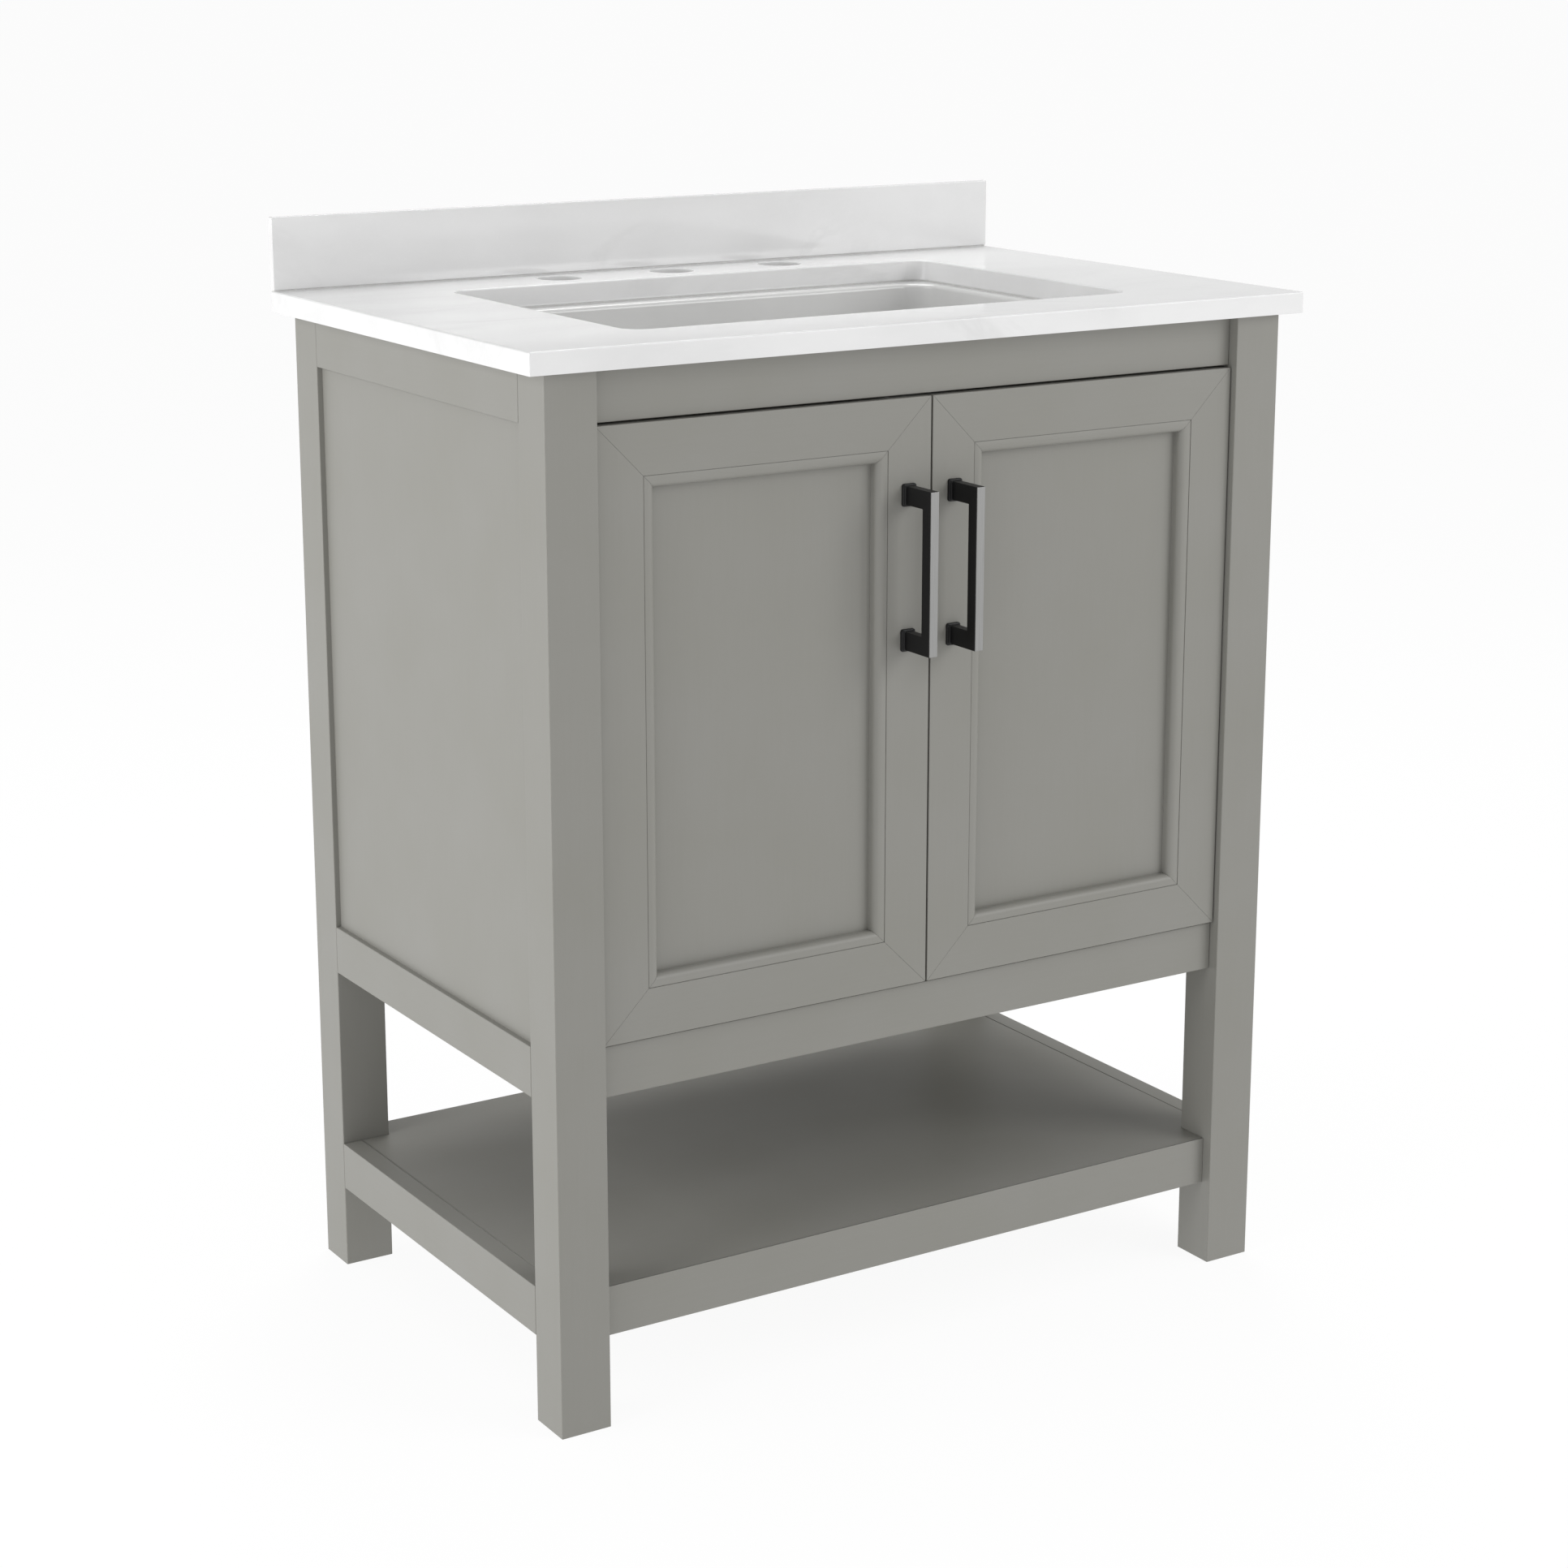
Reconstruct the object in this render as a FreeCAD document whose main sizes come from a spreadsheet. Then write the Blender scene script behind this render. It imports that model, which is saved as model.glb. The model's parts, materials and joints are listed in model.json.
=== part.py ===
import FreeCAD, Part
import math
import os
import re

import Sketcher

# Bathroom vanity cabinet: four square legs, framed sides, two inset doors over an open shelf,
# and an engineered-stone top with a backsplash and an undermount sink.
# Millimetres, +Z up, front towards -Y. The origin is on the floor, in the middle of the footprint.

os.makedirs("parts", exist_ok=True)
doc = FreeCAD.newDocument("vanity_cabinet")

# ---------------------------------------------------------------- driving dimensions

SIZES = {
    # carcass
    "cabinet_width": 726, "cabinet_depth": 464, "leg_height": 881,
    "leg_width": 46, "leg_depth": 43.5, "leg_front_y": -220.1, "board": 18,
    "rail_height": 43.5, "rail_setback": 10.7, "back_setback": 12, "joint_gap": 0.3,
    "bottom_rail_z": 284.8, "shelf_rail_z": 76, "back_rail_height": 90,
    "panel_recess": 5, "panel_thickness": 6, "tongue": 6, "floor_thickness": 15,
    "block_size": 40, "easing": 0.8,
    # doors
    "door_setback": 6.3, "door_thickness": 20, "door_gap": 2, "hinge_gap": 1.5,
    "frame_width": 42, "moulding_width": 10.5, "panel_depth": 10.3, "mitre_gap": 0.12,
    "quirk_depth": 0.8, "quirk_width": 0.5, "swell_rise": 0.3, "round_over": 6.2, "groove_depth": 6,
    # concealed hinges: a crescent link slides in a curved slot in each half
    "pivot_reach": 2, "hinge_inset": 90, "half_front": 5.7, "half_width": 13.5,
    "half_depth": 18, "half_height": 14, "plate_thickness": 2, "plate_height": 58,
    "link_radius": 16, "link_thickness": 3, "link_height": 8, "link_span": 125,
    "slot_clearance": 0.3, "slot_spare": 4, "hinge_screw_spread": 44,
    "screw_head": 3.2, "screw_shank": 1.5, "screw_length": 14, "screw_cone": 1.6,
    # pulls
    "pull_from_edge": 22, "pull_top_z": 763, "pull_length": 138,
    "pull_width": 8.2, "pull_projection": 38.8, "bar_depth": 12.2, "post_height": 15.6,
    "flange_width": 13.6, "flange_height": 19, "flange_thickness": 4.2, "flange_bevel": 1.6,
    "face_thickness": 1, "face_margin": 0.2, "pull_corner": 1.8, "pull_easing": 0.4,
    "bolt_radius": 2, "bolt_length": 22, "bolt_head_radius": 4.2, "bolt_head": 2.4,
    # magnetic catch and its strike plates
    "catch_width": 44, "catch_depth": 14, "catch_height": 16.5, "catch_gap": 1.2,
    "catch_tab": 26, "catch_sheet": 2, "strike_width": 14, "strike_height": 12,
    "strike_thickness": 0.8, "strike_from_edge": 5, "strike_from_top": 4,
    # stone top
    "top_width": 762, "top_depth": 484, "top_thickness": 18.5, "front_overhang": 11.3,
    "top_easing": 1.2, "cutout_width": 500, "cutout_depth": 324, "cutout_front": 77.5,
    "cutout_radius": 18, "faucet_spacing": 117.5, "faucet_radius": 20, "faucet_back": 41,
    "splash_height": 64.4, "splash_thickness": 7, "seal": 0.8, "seal_inset": 1,
    # sink
    "bowl_width": 475, "bowl_depth": 290, "bowl_front": 89, "bowl_radius": 26,
    "bowl_height": 140, "bowl_wall": 10, "rim_side": 34, "rim_front": 30, "rim_back": 36,
    "rim_thickness": 12, "rim_seal": 1, "seal_outer": 9, "seal_inner": 3,
    "bowl_draft": 3, "bowl_fillet": 18, "bowl_floor": 12,
    "rim_radius": 30, "drain_radius": 22.5, "drain_recess": 32, "recess_depth": 2,
    "overflow_radius": 7, "overflow_drop": 38, "clip_width": 12, "clip_length": 20,
    "clip_thickness": 3, "clip_from_end": 60,
}

sheet = doc.addObject("Spreadsheet::Sheet", "Dims")
for row, (alias, number) in enumerate(SIZES.items(), start=1):
    sheet.set("A%d" % row, alias)
    sheet.set("B%d" % row, str(number))
    sheet.setAlias("B%d" % row, alias)
doc.recompute()

NEAR = 0.1
WORD = re.compile(r"\b([a-z]+(?:_[a-z]+)*)\b(?!\()")
nodes = {}


def size(alias):
    """The number held by one cell of the sheet."""
    return float(sheet.get(alias))


def bind(piece, prop, text):
    """Drive a property by an expression written with the sheet's names."""
    piece.setExpression(prop, WORD.sub(lambda word: "Dims." + word.group(1), text))


def place(piece, x="0", y="0", z="0"):
    """Drive a piece's position by three expressions."""
    bind(piece, "Placement.Base.x", x)
    bind(piece, "Placement.Base.y", y)
    bind(piece, "Placement.Base.z", z)
    return piece


def turn(piece, axis, degrees):
    """Turn a piece about its own origin."""
    piece.Placement.Rotation = FreeCAD.Rotation(FreeCAD.Vector(*axis), degrees)
    return piece


def box(x, y, z, length, width, height):
    """A board: its low corner and its three sizes, all as expressions."""
    piece = doc.addObject("Part::Box", "board")
    bind(piece, "Length", length)
    bind(piece, "Width", width)
    bind(piece, "Height", height)
    return place(piece, x, y, z)


def cylinder(x, y, z, radius, height, axis=(0, 0, 1)):
    """A round bar from a point, along an axis."""
    piece = doc.addObject("Part::Cylinder", "round_bar")
    bind(piece, "Radius", radius)
    bind(piece, "Height", height)
    piece.Placement.Rotation = FreeCAD.Rotation(FreeCAD.Vector(0, 0, 1), FreeCAD.Vector(*axis))
    return place(piece, x, y, z)


def cone(x, y, z, radius_low, radius_high, height, axis):
    """A cone frustum from a point, along an axis."""
    piece = doc.addObject("Part::Cone", "cone")
    bind(piece, "Radius1", radius_low)
    bind(piece, "Radius2", radius_high)
    bind(piece, "Height", height)
    piece.Placement.Rotation = FreeCAD.Rotation(FreeCAD.Vector(0, 0, 1), FreeCAD.Vector(*axis))
    return place(piece, x, y, z)


def fuse(pieces):
    """One solid from several."""
    joined = doc.addObject("Part::MultiFuse", "fused")
    joined.Shapes = pieces
    return joined


def cut(base, tools):
    """A solid with several others taken away from it."""
    piece = doc.addObject("Part::Cut", "cut")
    piece.Base = base
    piece.Tool = tools[0] if len(tools) == 1 else fuse(tools)
    return piece


def gather(pieces):
    """Separate solids kept as one sub-part."""
    group = doc.addObject("Part::Compound", "group")
    group.Links = pieces
    return group


def eased(base, alias="easing", chosen=lambda edge: True):
    """Round the chosen edges of a piece by one of the sheet's radii."""
    doc.recompute()
    piece = doc.addObject("Part::Fillet", "eased")
    piece.Base = base
    radius = size(alias)
    piece.Edges = [
        (number, radius, radius)
        for number, edge in enumerate(base.Shape.Edges, start=1)
        if chosen(edge)
    ]
    return piece


def node(name, piece):
    """Name a finished sub-part."""
    piece.Label = name
    nodes[name] = piece
    return piece


def along(axis):
    """A test for straight edges that run along one axis."""
    def test(edge):
        start, end = edge.Vertexes[0].Point, edge.Vertexes[-1].Point
        return abs((end - start).normalize().dot(FreeCAD.Vector(*axis))) > 0.999
    return test


# ---------------------------------------------------------------- sketches and bodies

def new_body():
    """An empty PartDesign body."""
    return doc.addObject("PartDesign::Body", "Body")


def sketch_on(body, role, name, offset=None):
    """A sketch on one of the body's own origin planes, moved off it along its normal if asked."""
    sketch = body.newObject("Sketcher::SketchObject", name)
    plane = [part for part in body.Origin.OriginFeatures if part.Role == role][0]
    sketch.AttachmentSupport = [(plane, "")]
    sketch.MapMode = "FlatFace"
    if offset:
        bind(sketch, "AttachmentOffset.Base.z", offset)
    return sketch


def fix_point(sketch, index, x, y):
    """Hold the start of a sketch line at two driven distances from the sketch's origin."""
    for kind, text in (("DistanceX", x), ("DistanceY", y)):
        constraint = sketch.addConstraint(Sketcher.Constraint(kind, -1, 1, index, 1, 1.0))
        bind(sketch, "Constraints[%d]" % constraint, text)


def outline(sketch, points):
    """A closed outline of straight sides through driven points."""
    starts = [FreeCAD.Vector(10.0 * number, 7.0 * (number % 3), 0) for number in range(len(points))]
    first = sketch.GeometryCount
    for number, start in enumerate(starts):
        end = starts[(number + 1) % len(starts)]
        sketch.addGeometry(Part.LineSegment(start, end), False)
    for number in range(len(points)):
        here = first + number
        after = first + (number + 1) % len(points)
        sketch.addConstraint(Sketcher.Constraint("Coincident", here, 2, after, 1))
    for number, (x, y) in enumerate(points):
        fix_point(sketch, first + number, x, y)


def rounded_rectangle(sketch, left, low, width, depth, radius):
    """A rectangle with four equal round corners. Sides and arcs are tangent."""
    corners = ((10, 0), (90, 0), (100, 10), (100, 90), (90, 100), (10, 100), (0, 90), (0, 10))
    centres = ((90, 10, -90), (90, 90, 0), (10, 90, 90), (10, 10, 180))
    first = sketch.GeometryCount
    vector = FreeCAD.Vector
    for side in range(4):
        start, end = corners[2 * side], corners[2 * side + 1]
        sketch.addGeometry(Part.LineSegment(vector(*start, 0), vector(*end, 0)), False)
        x, y, angle = centres[side]
        circle = Part.Circle(vector(x, y, 0), vector(0, 0, 1), 10)
        begin = math.radians(angle)
        sketch.addGeometry(Part.ArcOfCircle(circle, begin, begin + math.pi / 2), False)
    for side in range(4):
        line, arc, after = first + 2 * side, first + 2 * side + 1, first + (2 * side + 2) % 8
        sketch.addConstraint(Sketcher.Constraint("Tangent", line, 2, arc, 1))
        sketch.addConstraint(Sketcher.Constraint("Tangent", arc, 2, after, 1))
        kind = "Horizontal" if side % 2 == 0 else "Vertical"
        sketch.addConstraint(Sketcher.Constraint(kind, line))
        if side:
            sketch.addConstraint(Sketcher.Constraint("Equal", first + 1, arc))
    right, top = "(%s) + (%s)" % (left, width), "(%s) + (%s)" % (low, depth)
    drive = (
        ("Radius", (first + 1, 1.0), radius),
        ("DistanceY", (-1, 1, first, 1, 1.0), low),
        ("DistanceY", (-1, 1, first + 4, 1, 1.0), top),
        ("DistanceX", (-1, 1, first + 6, 1, 1.0), left),
        ("DistanceX", (-1, 1, first + 2, 1, 1.0), right),
    )
    for kind, where, text in drive:
        constraint = sketch.addConstraint(Sketcher.Constraint(kind, *where))
        bind(sketch, "Constraints[%d]" % constraint, text)


def circle_at(sketch, x, y, radius):
    """A driven circle."""
    index = sketch.addGeometry(Part.Circle(FreeCAD.Vector(50, 50, 0), FreeCAD.Vector(0, 0, 1), 5))
    drive = (("DistanceX", (-1, 1, index, 3, 1.0), x), ("DistanceY", (-1, 1, index, 3, 1.0), y),
             ("Radius", (index, 1.0), radius))
    for kind, where, text in drive:
        constraint = sketch.addConstraint(Sketcher.Constraint(kind, *where))
        bind(sketch, "Constraints[%d]" % constraint, text)


def pad(body, sketch, length, reverse=False):
    """Add the sketch's area, drawn out by a length."""
    feature = body.newObject("PartDesign::Pad", "Pad")
    feature.Profile = sketch
    feature.Reversed = reverse
    bind(feature, "Length", length)
    doc.recompute()
    return feature


def pocket(body, sketch, length=None, reverse=False):
    """Take the sketch's area away, by a length or right through, and check that it cut."""
    before = body.Shape.Volume
    feature = body.newObject("PartDesign::Pocket", "Pocket")
    feature.Profile = sketch
    feature.Reversed = reverse
    if length is None:
        feature.Type = "ThroughAll"
        feature.Midplane = True
    else:
        bind(feature, "Length", length)
    doc.recompute()
    if body.Shape.Volume > before - 1.0:
        raise RuntimeError("a pocket of %s cuts nothing" % body.Name)
    return feature


def soften(body, alias, chosen):
    """Round the chosen edges of a body."""
    doc.recompute()
    tip = body.Tip
    names = ["Edge%d" % number for number, edge in enumerate(tip.Shape.Edges, start=1) if chosen(edge)]
    feature = body.newObject("PartDesign::Fillet", "Soften")
    feature.Base = (tip, names)
    bind(feature, "Radius", alias)
    doc.recompute()
    return feature


# ---------------------------------------------------------------- shared positions

SIDES = {"left": -1, "right": 1}
LEG_X = {"left": "-cabinet_width / 2", "right": "cabinet_width / 2 - leg_width"}
BOARD_X = {"left": "-cabinet_width / 2", "right": "cabinet_width / 2 - board"}
FRONT = "leg_front_y"
BACK = "leg_front_y + cabinet_depth"
RAIL_Y = "leg_front_y + rail_setback"
BACK_RAIL_Y = "leg_front_y + cabinet_depth - back_setback - board"
CLEAR_WIDTH = "cabinet_width - 2 * leg_width"
TOP_RAIL_Z = "leg_height - rail_height"
PANEL_LOW = "bottom_rail_z + rail_height - tongue"
PANEL_HEIGHT = "leg_height - 2 * rail_height - bottom_rail_z + 2 * tongue"
DOOR_LOW = "bottom_rail_z + rail_height + door_gap"
DOOR_HEIGHT = "leg_height - 2 * rail_height - bottom_rail_z - 2 * door_gap"
DOOR_WIDTH = "cabinet_width / 2 - leg_width - hinge_gap - door_gap / 2"
DOOR_Y = "leg_front_y + door_setback"
HINGE_Y = DOOR_Y + " - pivot_reach"
HINGE_X = {
    "left": "-cabinet_width / 2 + leg_width + hinge_gap / 2",
    "right": "cabinet_width / 2 - leg_width - hinge_gap / 2",
}
HINGE_Z = {
    "upper": "leg_height - rail_height - door_gap - hinge_inset",
    "lower": DOOR_LOW + " + hinge_inset",
}

# ---------------------------------------------------------------- hinges


def hinge_block(side, level, outward):
    """The outside of one hinge half: a deep box and a face plate, flush with the wood's edge.
    outward is -1 where the half lies to the left of the hinge line, and 1 to the right."""
    x, z = HINGE_X[side], HINGE_Z[level]
    y = HINGE_Y + " + half_front"
    parts = []
    for depth, height in (("half_depth", "half_height"), ("plate_thickness", "plate_height")):
        low = x + (" + hinge_gap / 2" if outward > 0 else " - hinge_gap / 2 - %s" % depth)
        parts.append(box(low, y, z + " - %s / 2" % height, depth, "half_width", height))
    return fuse(parts)


def ring_sector(side, level, clearance):
    """A crescent about the hinge line, centred on the gap, thicker all round by the clearance."""
    height = "link_height + 2 * %s" % clearance
    rounds = []
    for sign in ("+", "-"):
        piece = cylinder(
            HINGE_X[side], HINGE_Y, HINGE_Z[level] + " - (%s) / 2" % height,
            "link_radius %s (link_thickness / 2 + %s)" % (sign, clearance), height,
        )
        spread = size("link_span") + (size("slot_spare") if clearance != "0" else 0)
        piece.Angle = spread
        piece.Placement.Rotation = FreeCAD.Rotation(FreeCAD.Vector(0, 0, 1), 90 - spread / 2)
        rounds.append(piece)
    return cut(rounds[0], [rounds[1]])


def wood_screw(x, y, z, axis):
    """A countersunk screw: its head's face is at the point, and it runs along the axis."""
    return fuse([
        cone(x, y, z, "screw_head", "screw_shank", "screw_cone", axis),
        cylinder(x, y, z, "screw_shank", "screw_length", axis),
    ])


def hinge_screws(side, level, outward):
    """The two screws of one hinge half, above and below its box."""
    x = HINGE_X[side] + (" + hinge_gap / 2" if outward > 0 else " - hinge_gap / 2")
    y = HINGE_Y + " + half_front + half_width / 2"
    return [
        wood_screw(x, y, HINGE_Z[level] + " %s hinge_screw_spread / 2" % sign, (outward, 0, 0))
        for sign in ("+", "-")
    ]


leg_blocks, leg_screws, door_blocks, door_screws = {}, {}, {}, {}
for side, sign in SIDES.items():
    leg_blocks[side], leg_screws[side], door_blocks[side], door_screws[side] = [], [], [], []
    links = []
    for level in ("upper", "lower"):
        slot = ring_sector(side, level, "slot_clearance")
        links.append(ring_sector(side, level, "0"))
        for outward, blocks, screws, name in (
            (sign, leg_blocks[side], leg_screws[side], "hinge_leg_half_%s_%s"),
            (-sign, door_blocks[side], door_screws[side], "hinge_door_half_%s_%s"),
        ):
            block = hinge_block(side, level, outward)
            pair = hinge_screws(side, level, outward)
            blocks.append(block)
            screws.extend(pair)
            node(name % (side, level), cut(block, [slot] + pair))
    node("hinge_links_" + side, gather(links))
    node("hinge_screws_" + side, gather(door_screws[side]))
node("hinge_leg_screws", gather(leg_screws["left"] + leg_screws["right"]))

# ---------------------------------------------------------------- legs and sides

for side, sign in SIDES.items():
    edge = "-cabinet_width / 2" if side == "left" else "cabinet_width / 2"
    panel_x = edge + (" + panel_recess" if side == "left" else " - panel_recess - panel_thickness")
    panel_y = "leg_front_y + leg_depth - tongue"
    panel_width = "cabinet_depth - 2 * leg_depth + 2 * tongue"
    panel = box(panel_x, panel_y, PANEL_LOW, "panel_thickness", panel_width, PANEL_HEIGHT)
    node("side_panel_" + side, panel)

    for end, y in (("front", FRONT), ("back", BACK + " - leg_depth")):
        post = eased(box(LEG_X[side], y, "0", "leg_width", "leg_depth", "leg_height"),
                     chosen=along((0, 0, 1)))
        tools = [panel]
        if end == "front":
            tools += leg_blocks[side] + leg_screws[side]
        node("leg_%s_%s" % (end, side), cut(post, tools))

    rail_y = "leg_front_y + leg_depth + joint_gap"
    rail_length = "cabinet_depth - 2 * leg_depth - 2 * joint_gap"
    for name, z in (("side_rail_upper_", TOP_RAIL_Z), ("side_rail_lower_", "bottom_rail_z"),
                    ("shelf_side_rail_", "shelf_rail_z")):
        rail = eased(box(BOARD_X[side], rail_y, z, "board", rail_length, "rail_height"))
        node(name + side, rail if name == "shelf_side_rail_" else cut(rail, [panel]))

# ---------------------------------------------------------------- front and back rails

RAIL_X = "-cabinet_width / 2 + leg_width + joint_gap"
RAIL_LENGTH = CLEAR_WIDTH + " - 2 * joint_gap"


def flat_rail(name, y, z, height):
    """A rail between the legs, with every edge eased."""
    return node(name, eased(box(RAIL_X, y, z, RAIL_LENGTH, "board", height)))


flat_rail("top_front_rail", RAIL_Y, TOP_RAIL_Z, "rail_height")
flat_rail("bottom_front_rail", RAIL_Y, "bottom_rail_z", "rail_height")
flat_rail("top_back_rail", BACK_RAIL_Y, "leg_height - back_rail_height", "back_rail_height")
flat_rail("bottom_back_rail", BACK_RAIL_Y, "bottom_rail_z", "rail_height")

# The shelf board lies on its two aprons and finishes flush with them, so only outer edges are eased.
UNDER_SHELF = "rail_height - board"
for name, y in (("shelf_front_rail", RAIL_Y), ("shelf_back_rail", BACK_RAIL_Y)):
    apron = box(RAIL_X, y, "shelf_rail_z", RAIL_LENGTH, "board", UNDER_SHELF)
    doc.recompute()
    low = size("shelf_rail_z")
    node(name, eased(apron, chosen=lambda edge: edge.BoundBox.ZMax < low + NEAR))

# ---------------------------------------------------------------- floor and shelf


def notched_board(front, back):
    """A board between the side rails whose four corners are notched round the legs.
    front and back are its edges' distances from the legs' front faces."""
    body = new_body()
    inner = "board + joint_gap"
    notch_x = "leg_width + joint_gap"
    notch_front = "leg_depth + joint_gap"
    notch_back = "cabinet_depth - leg_depth - joint_gap"
    left = [
        (notch_x, front), (notch_x, notch_front), (inner, notch_front),
        (inner, notch_back), (notch_x, notch_back), (notch_x, back),
    ]
    right = [("cabinet_width - (%s)" % x, y) for x, y in reversed(left)]
    sketch = sketch_on(body, "XY_Plane", "Outline")
    outline(sketch, left + right)
    return body, sketch


shelf, shelf_outline = notched_board("rail_setback", "cabinet_depth - back_setback")
pad(shelf, shelf_outline, "board")
shelf_front = size("rail_setback")
shelf_back = size("cabinet_depth") - size("back_setback")
soften(shelf, "easing", lambda edge: edge.BoundBox.ZMin > size("board") - NEAR
       and (edge.BoundBox.YMax < shelf_front + NEAR or edge.BoundBox.YMin > shelf_back - NEAR))
place(shelf, "-cabinet_width / 2", FRONT, "shelf_rail_z + rail_height - board")
node("shelf_panel", shelf)

floor, floor_outline = notched_board(
    "rail_setback + board", "cabinet_depth - back_setback - board")
pad(floor, floor_outline, "floor_thickness")
place(floor, "-cabinet_width / 2", FRONT, "bottom_rail_z + rail_height - floor_thickness")
node("cabinet_floor", floor)

blocks = []
for side in SIDES:
    x = "-cabinet_width / 2 + board" if side == "left" else "cabinet_width / 2 - leg_width"
    for y in ("leg_front_y + leg_depth", BACK + " - leg_depth - block_size"):
        blocks.append(box(x, y, "leg_height - block_size", "leg_width - board",
                          "block_size", "block_size"))
node("corner_blocks", gather(blocks))

# ---------------------------------------------------------------- doors

BAR_OUTER = "frame_width + moulding_width"


def frame_bar(length):
    """A door frame bar lying along X, outer edge at Z = 0, front face at Y = 0.
    Its section has a quirk, a low swell and a round-over down to the panel, and a groove for
    the panel's edge. Both ends are mitred at 45 degrees."""
    body = new_body()
    section = sketch_on(body, "YZ_Plane", "Section")
    vector = FreeCAD.Vector
    width, depth = size("frame_width"), size("panel_depth")
    edge = width + size("moulding_width")
    groove_back = depth + size("panel_thickness") + size("mitre_gap")
    thickness = size("door_thickness")
    inner = edge - size("groove_depth")
    quirk, rise, round_over = size("quirk_depth"), size("swell_rise"), size("round_over")
    swell_start = width + size("quirk_width")
    crest = edge - round_over
    swell_mid = vector(rise / 4, (swell_start + crest) / 2, 0)
    diagonal = round_over * 0.5 ** 0.5
    round_mid = vector(round_over - diagonal, crest + diagonal, 0)
    points = [
        vector(0, 0, 0), vector(0, width, 0), vector(quirk, width, 0),
        vector(quirk, swell_start, 0), vector(rise, swell_start, 0), vector(0, crest, 0),
        vector(round_over, edge, 0), vector(depth, edge, 0), vector(depth, inner, 0),
        vector(groove_back, inner, 0), vector(groove_back, edge, 0), vector(thickness, edge, 0),
        vector(thickness, 0, 0),
    ]
    bulges = {4: swell_mid, 5: round_mid}
    for number, start in enumerate(points):
        end = points[(number + 1) % len(points)]
        if number in bulges:
            section.addGeometry(Part.Arc(start, bulges[number], end), False)
        else:
            section.addGeometry(Part.LineSegment(start, end), False)
    for number in range(len(points)):
        section.addConstraint(Sketcher.Constraint("Block", number))
    pad(body, section, length)

    reach = BAR_OUTER + " + moulding_width"
    mitre = sketch_on(body, "XZ_Plane", "Mitre")
    outline(mitre, [("mitre_gap", "0"), (reach + " + mitre_gap", reach), ("0", reach), ("0", "0")])
    ends = "(%s)" % length
    outline(mitre, [
        (ends, "0"), (ends, reach), (ends + " - (%s) - mitre_gap" % reach, reach),
        (ends + " - mitre_gap", "0"),
    ])
    pocket(body, mitre)
    return body


def pull_parts(side):
    """A square bar pull in three pieces: the black casting, its satin face and its screws."""
    centre = "%d * (door_gap / 2 + pull_from_edge)" % SIDES[side]
    edge = centre + " - pull_width / 2"
    low = "pull_top_z - pull_length"
    face_y = DOOR_Y + " - pull_projection"
    bar_y = face_y + " + face_thickness"
    posts = (low, "pull_top_z - post_height")
    pieces = [box(edge, bar_y, low, "pull_width", "bar_depth - face_thickness", "pull_length")]
    for z in posts:
        pieces.append(box(edge, bar_y, z, "pull_width", "pull_projection - face_thickness",
                          "post_height"))
    bracket = fuse(pieces)
    doc.recompute()
    bar_back = bracket.Shape.BoundBox.YMin - size("face_thickness") + size("bar_depth")
    bracket = eased(bracket, "pull_corner", lambda edge: along((1, 0, 0))(edge)
                    and abs(edge.BoundBox.YMin - bar_back) < NEAR)
    bracket = eased(bracket, "pull_easing", lambda edge: along((0, 0, 1))(edge)
                    and edge.Length > size("pull_length") - NEAR)

    flanges, screws = [], []
    for z in posts:
        middle = z + " + post_height / 2"
        flange = box(centre + " - flange_width / 2", DOOR_Y + " - flange_thickness",
                     middle + " - flange_height / 2", "flange_width", "flange_thickness",
                     "flange_height")
        doc.recompute()
        front = flange.Shape.BoundBox.YMin
        bevel = doc.addObject("Part::Chamfer", "bevelled_flange")
        bevel.Base = flange
        bevel.Edges = [
            (number, size("flange_bevel"), size("flange_bevel"))
            for number, side_edge in enumerate(flange.Shape.Edges, start=1)
            if side_edge.BoundBox.YMax < front + NEAR
        ]
        flanges.append(bevel)
        head_y = DOOR_Y + " + door_thickness"
        screws.append(fuse([
            cylinder(centre, head_y + " - bolt_length", middle, "bolt_radius", "bolt_length",
                     (0, 1, 0)),
            cylinder(centre, head_y, middle, "bolt_head_radius", "bolt_head", (0, 1, 0)),
        ]))
    casting = cut(fuse([bracket] + flanges), screws)
    strip = box(edge + " + face_margin", face_y, low + " + face_margin",
                "pull_width - 2 * face_margin", "face_thickness", "pull_length - 2 * face_margin")
    return casting, strip, screws


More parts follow.
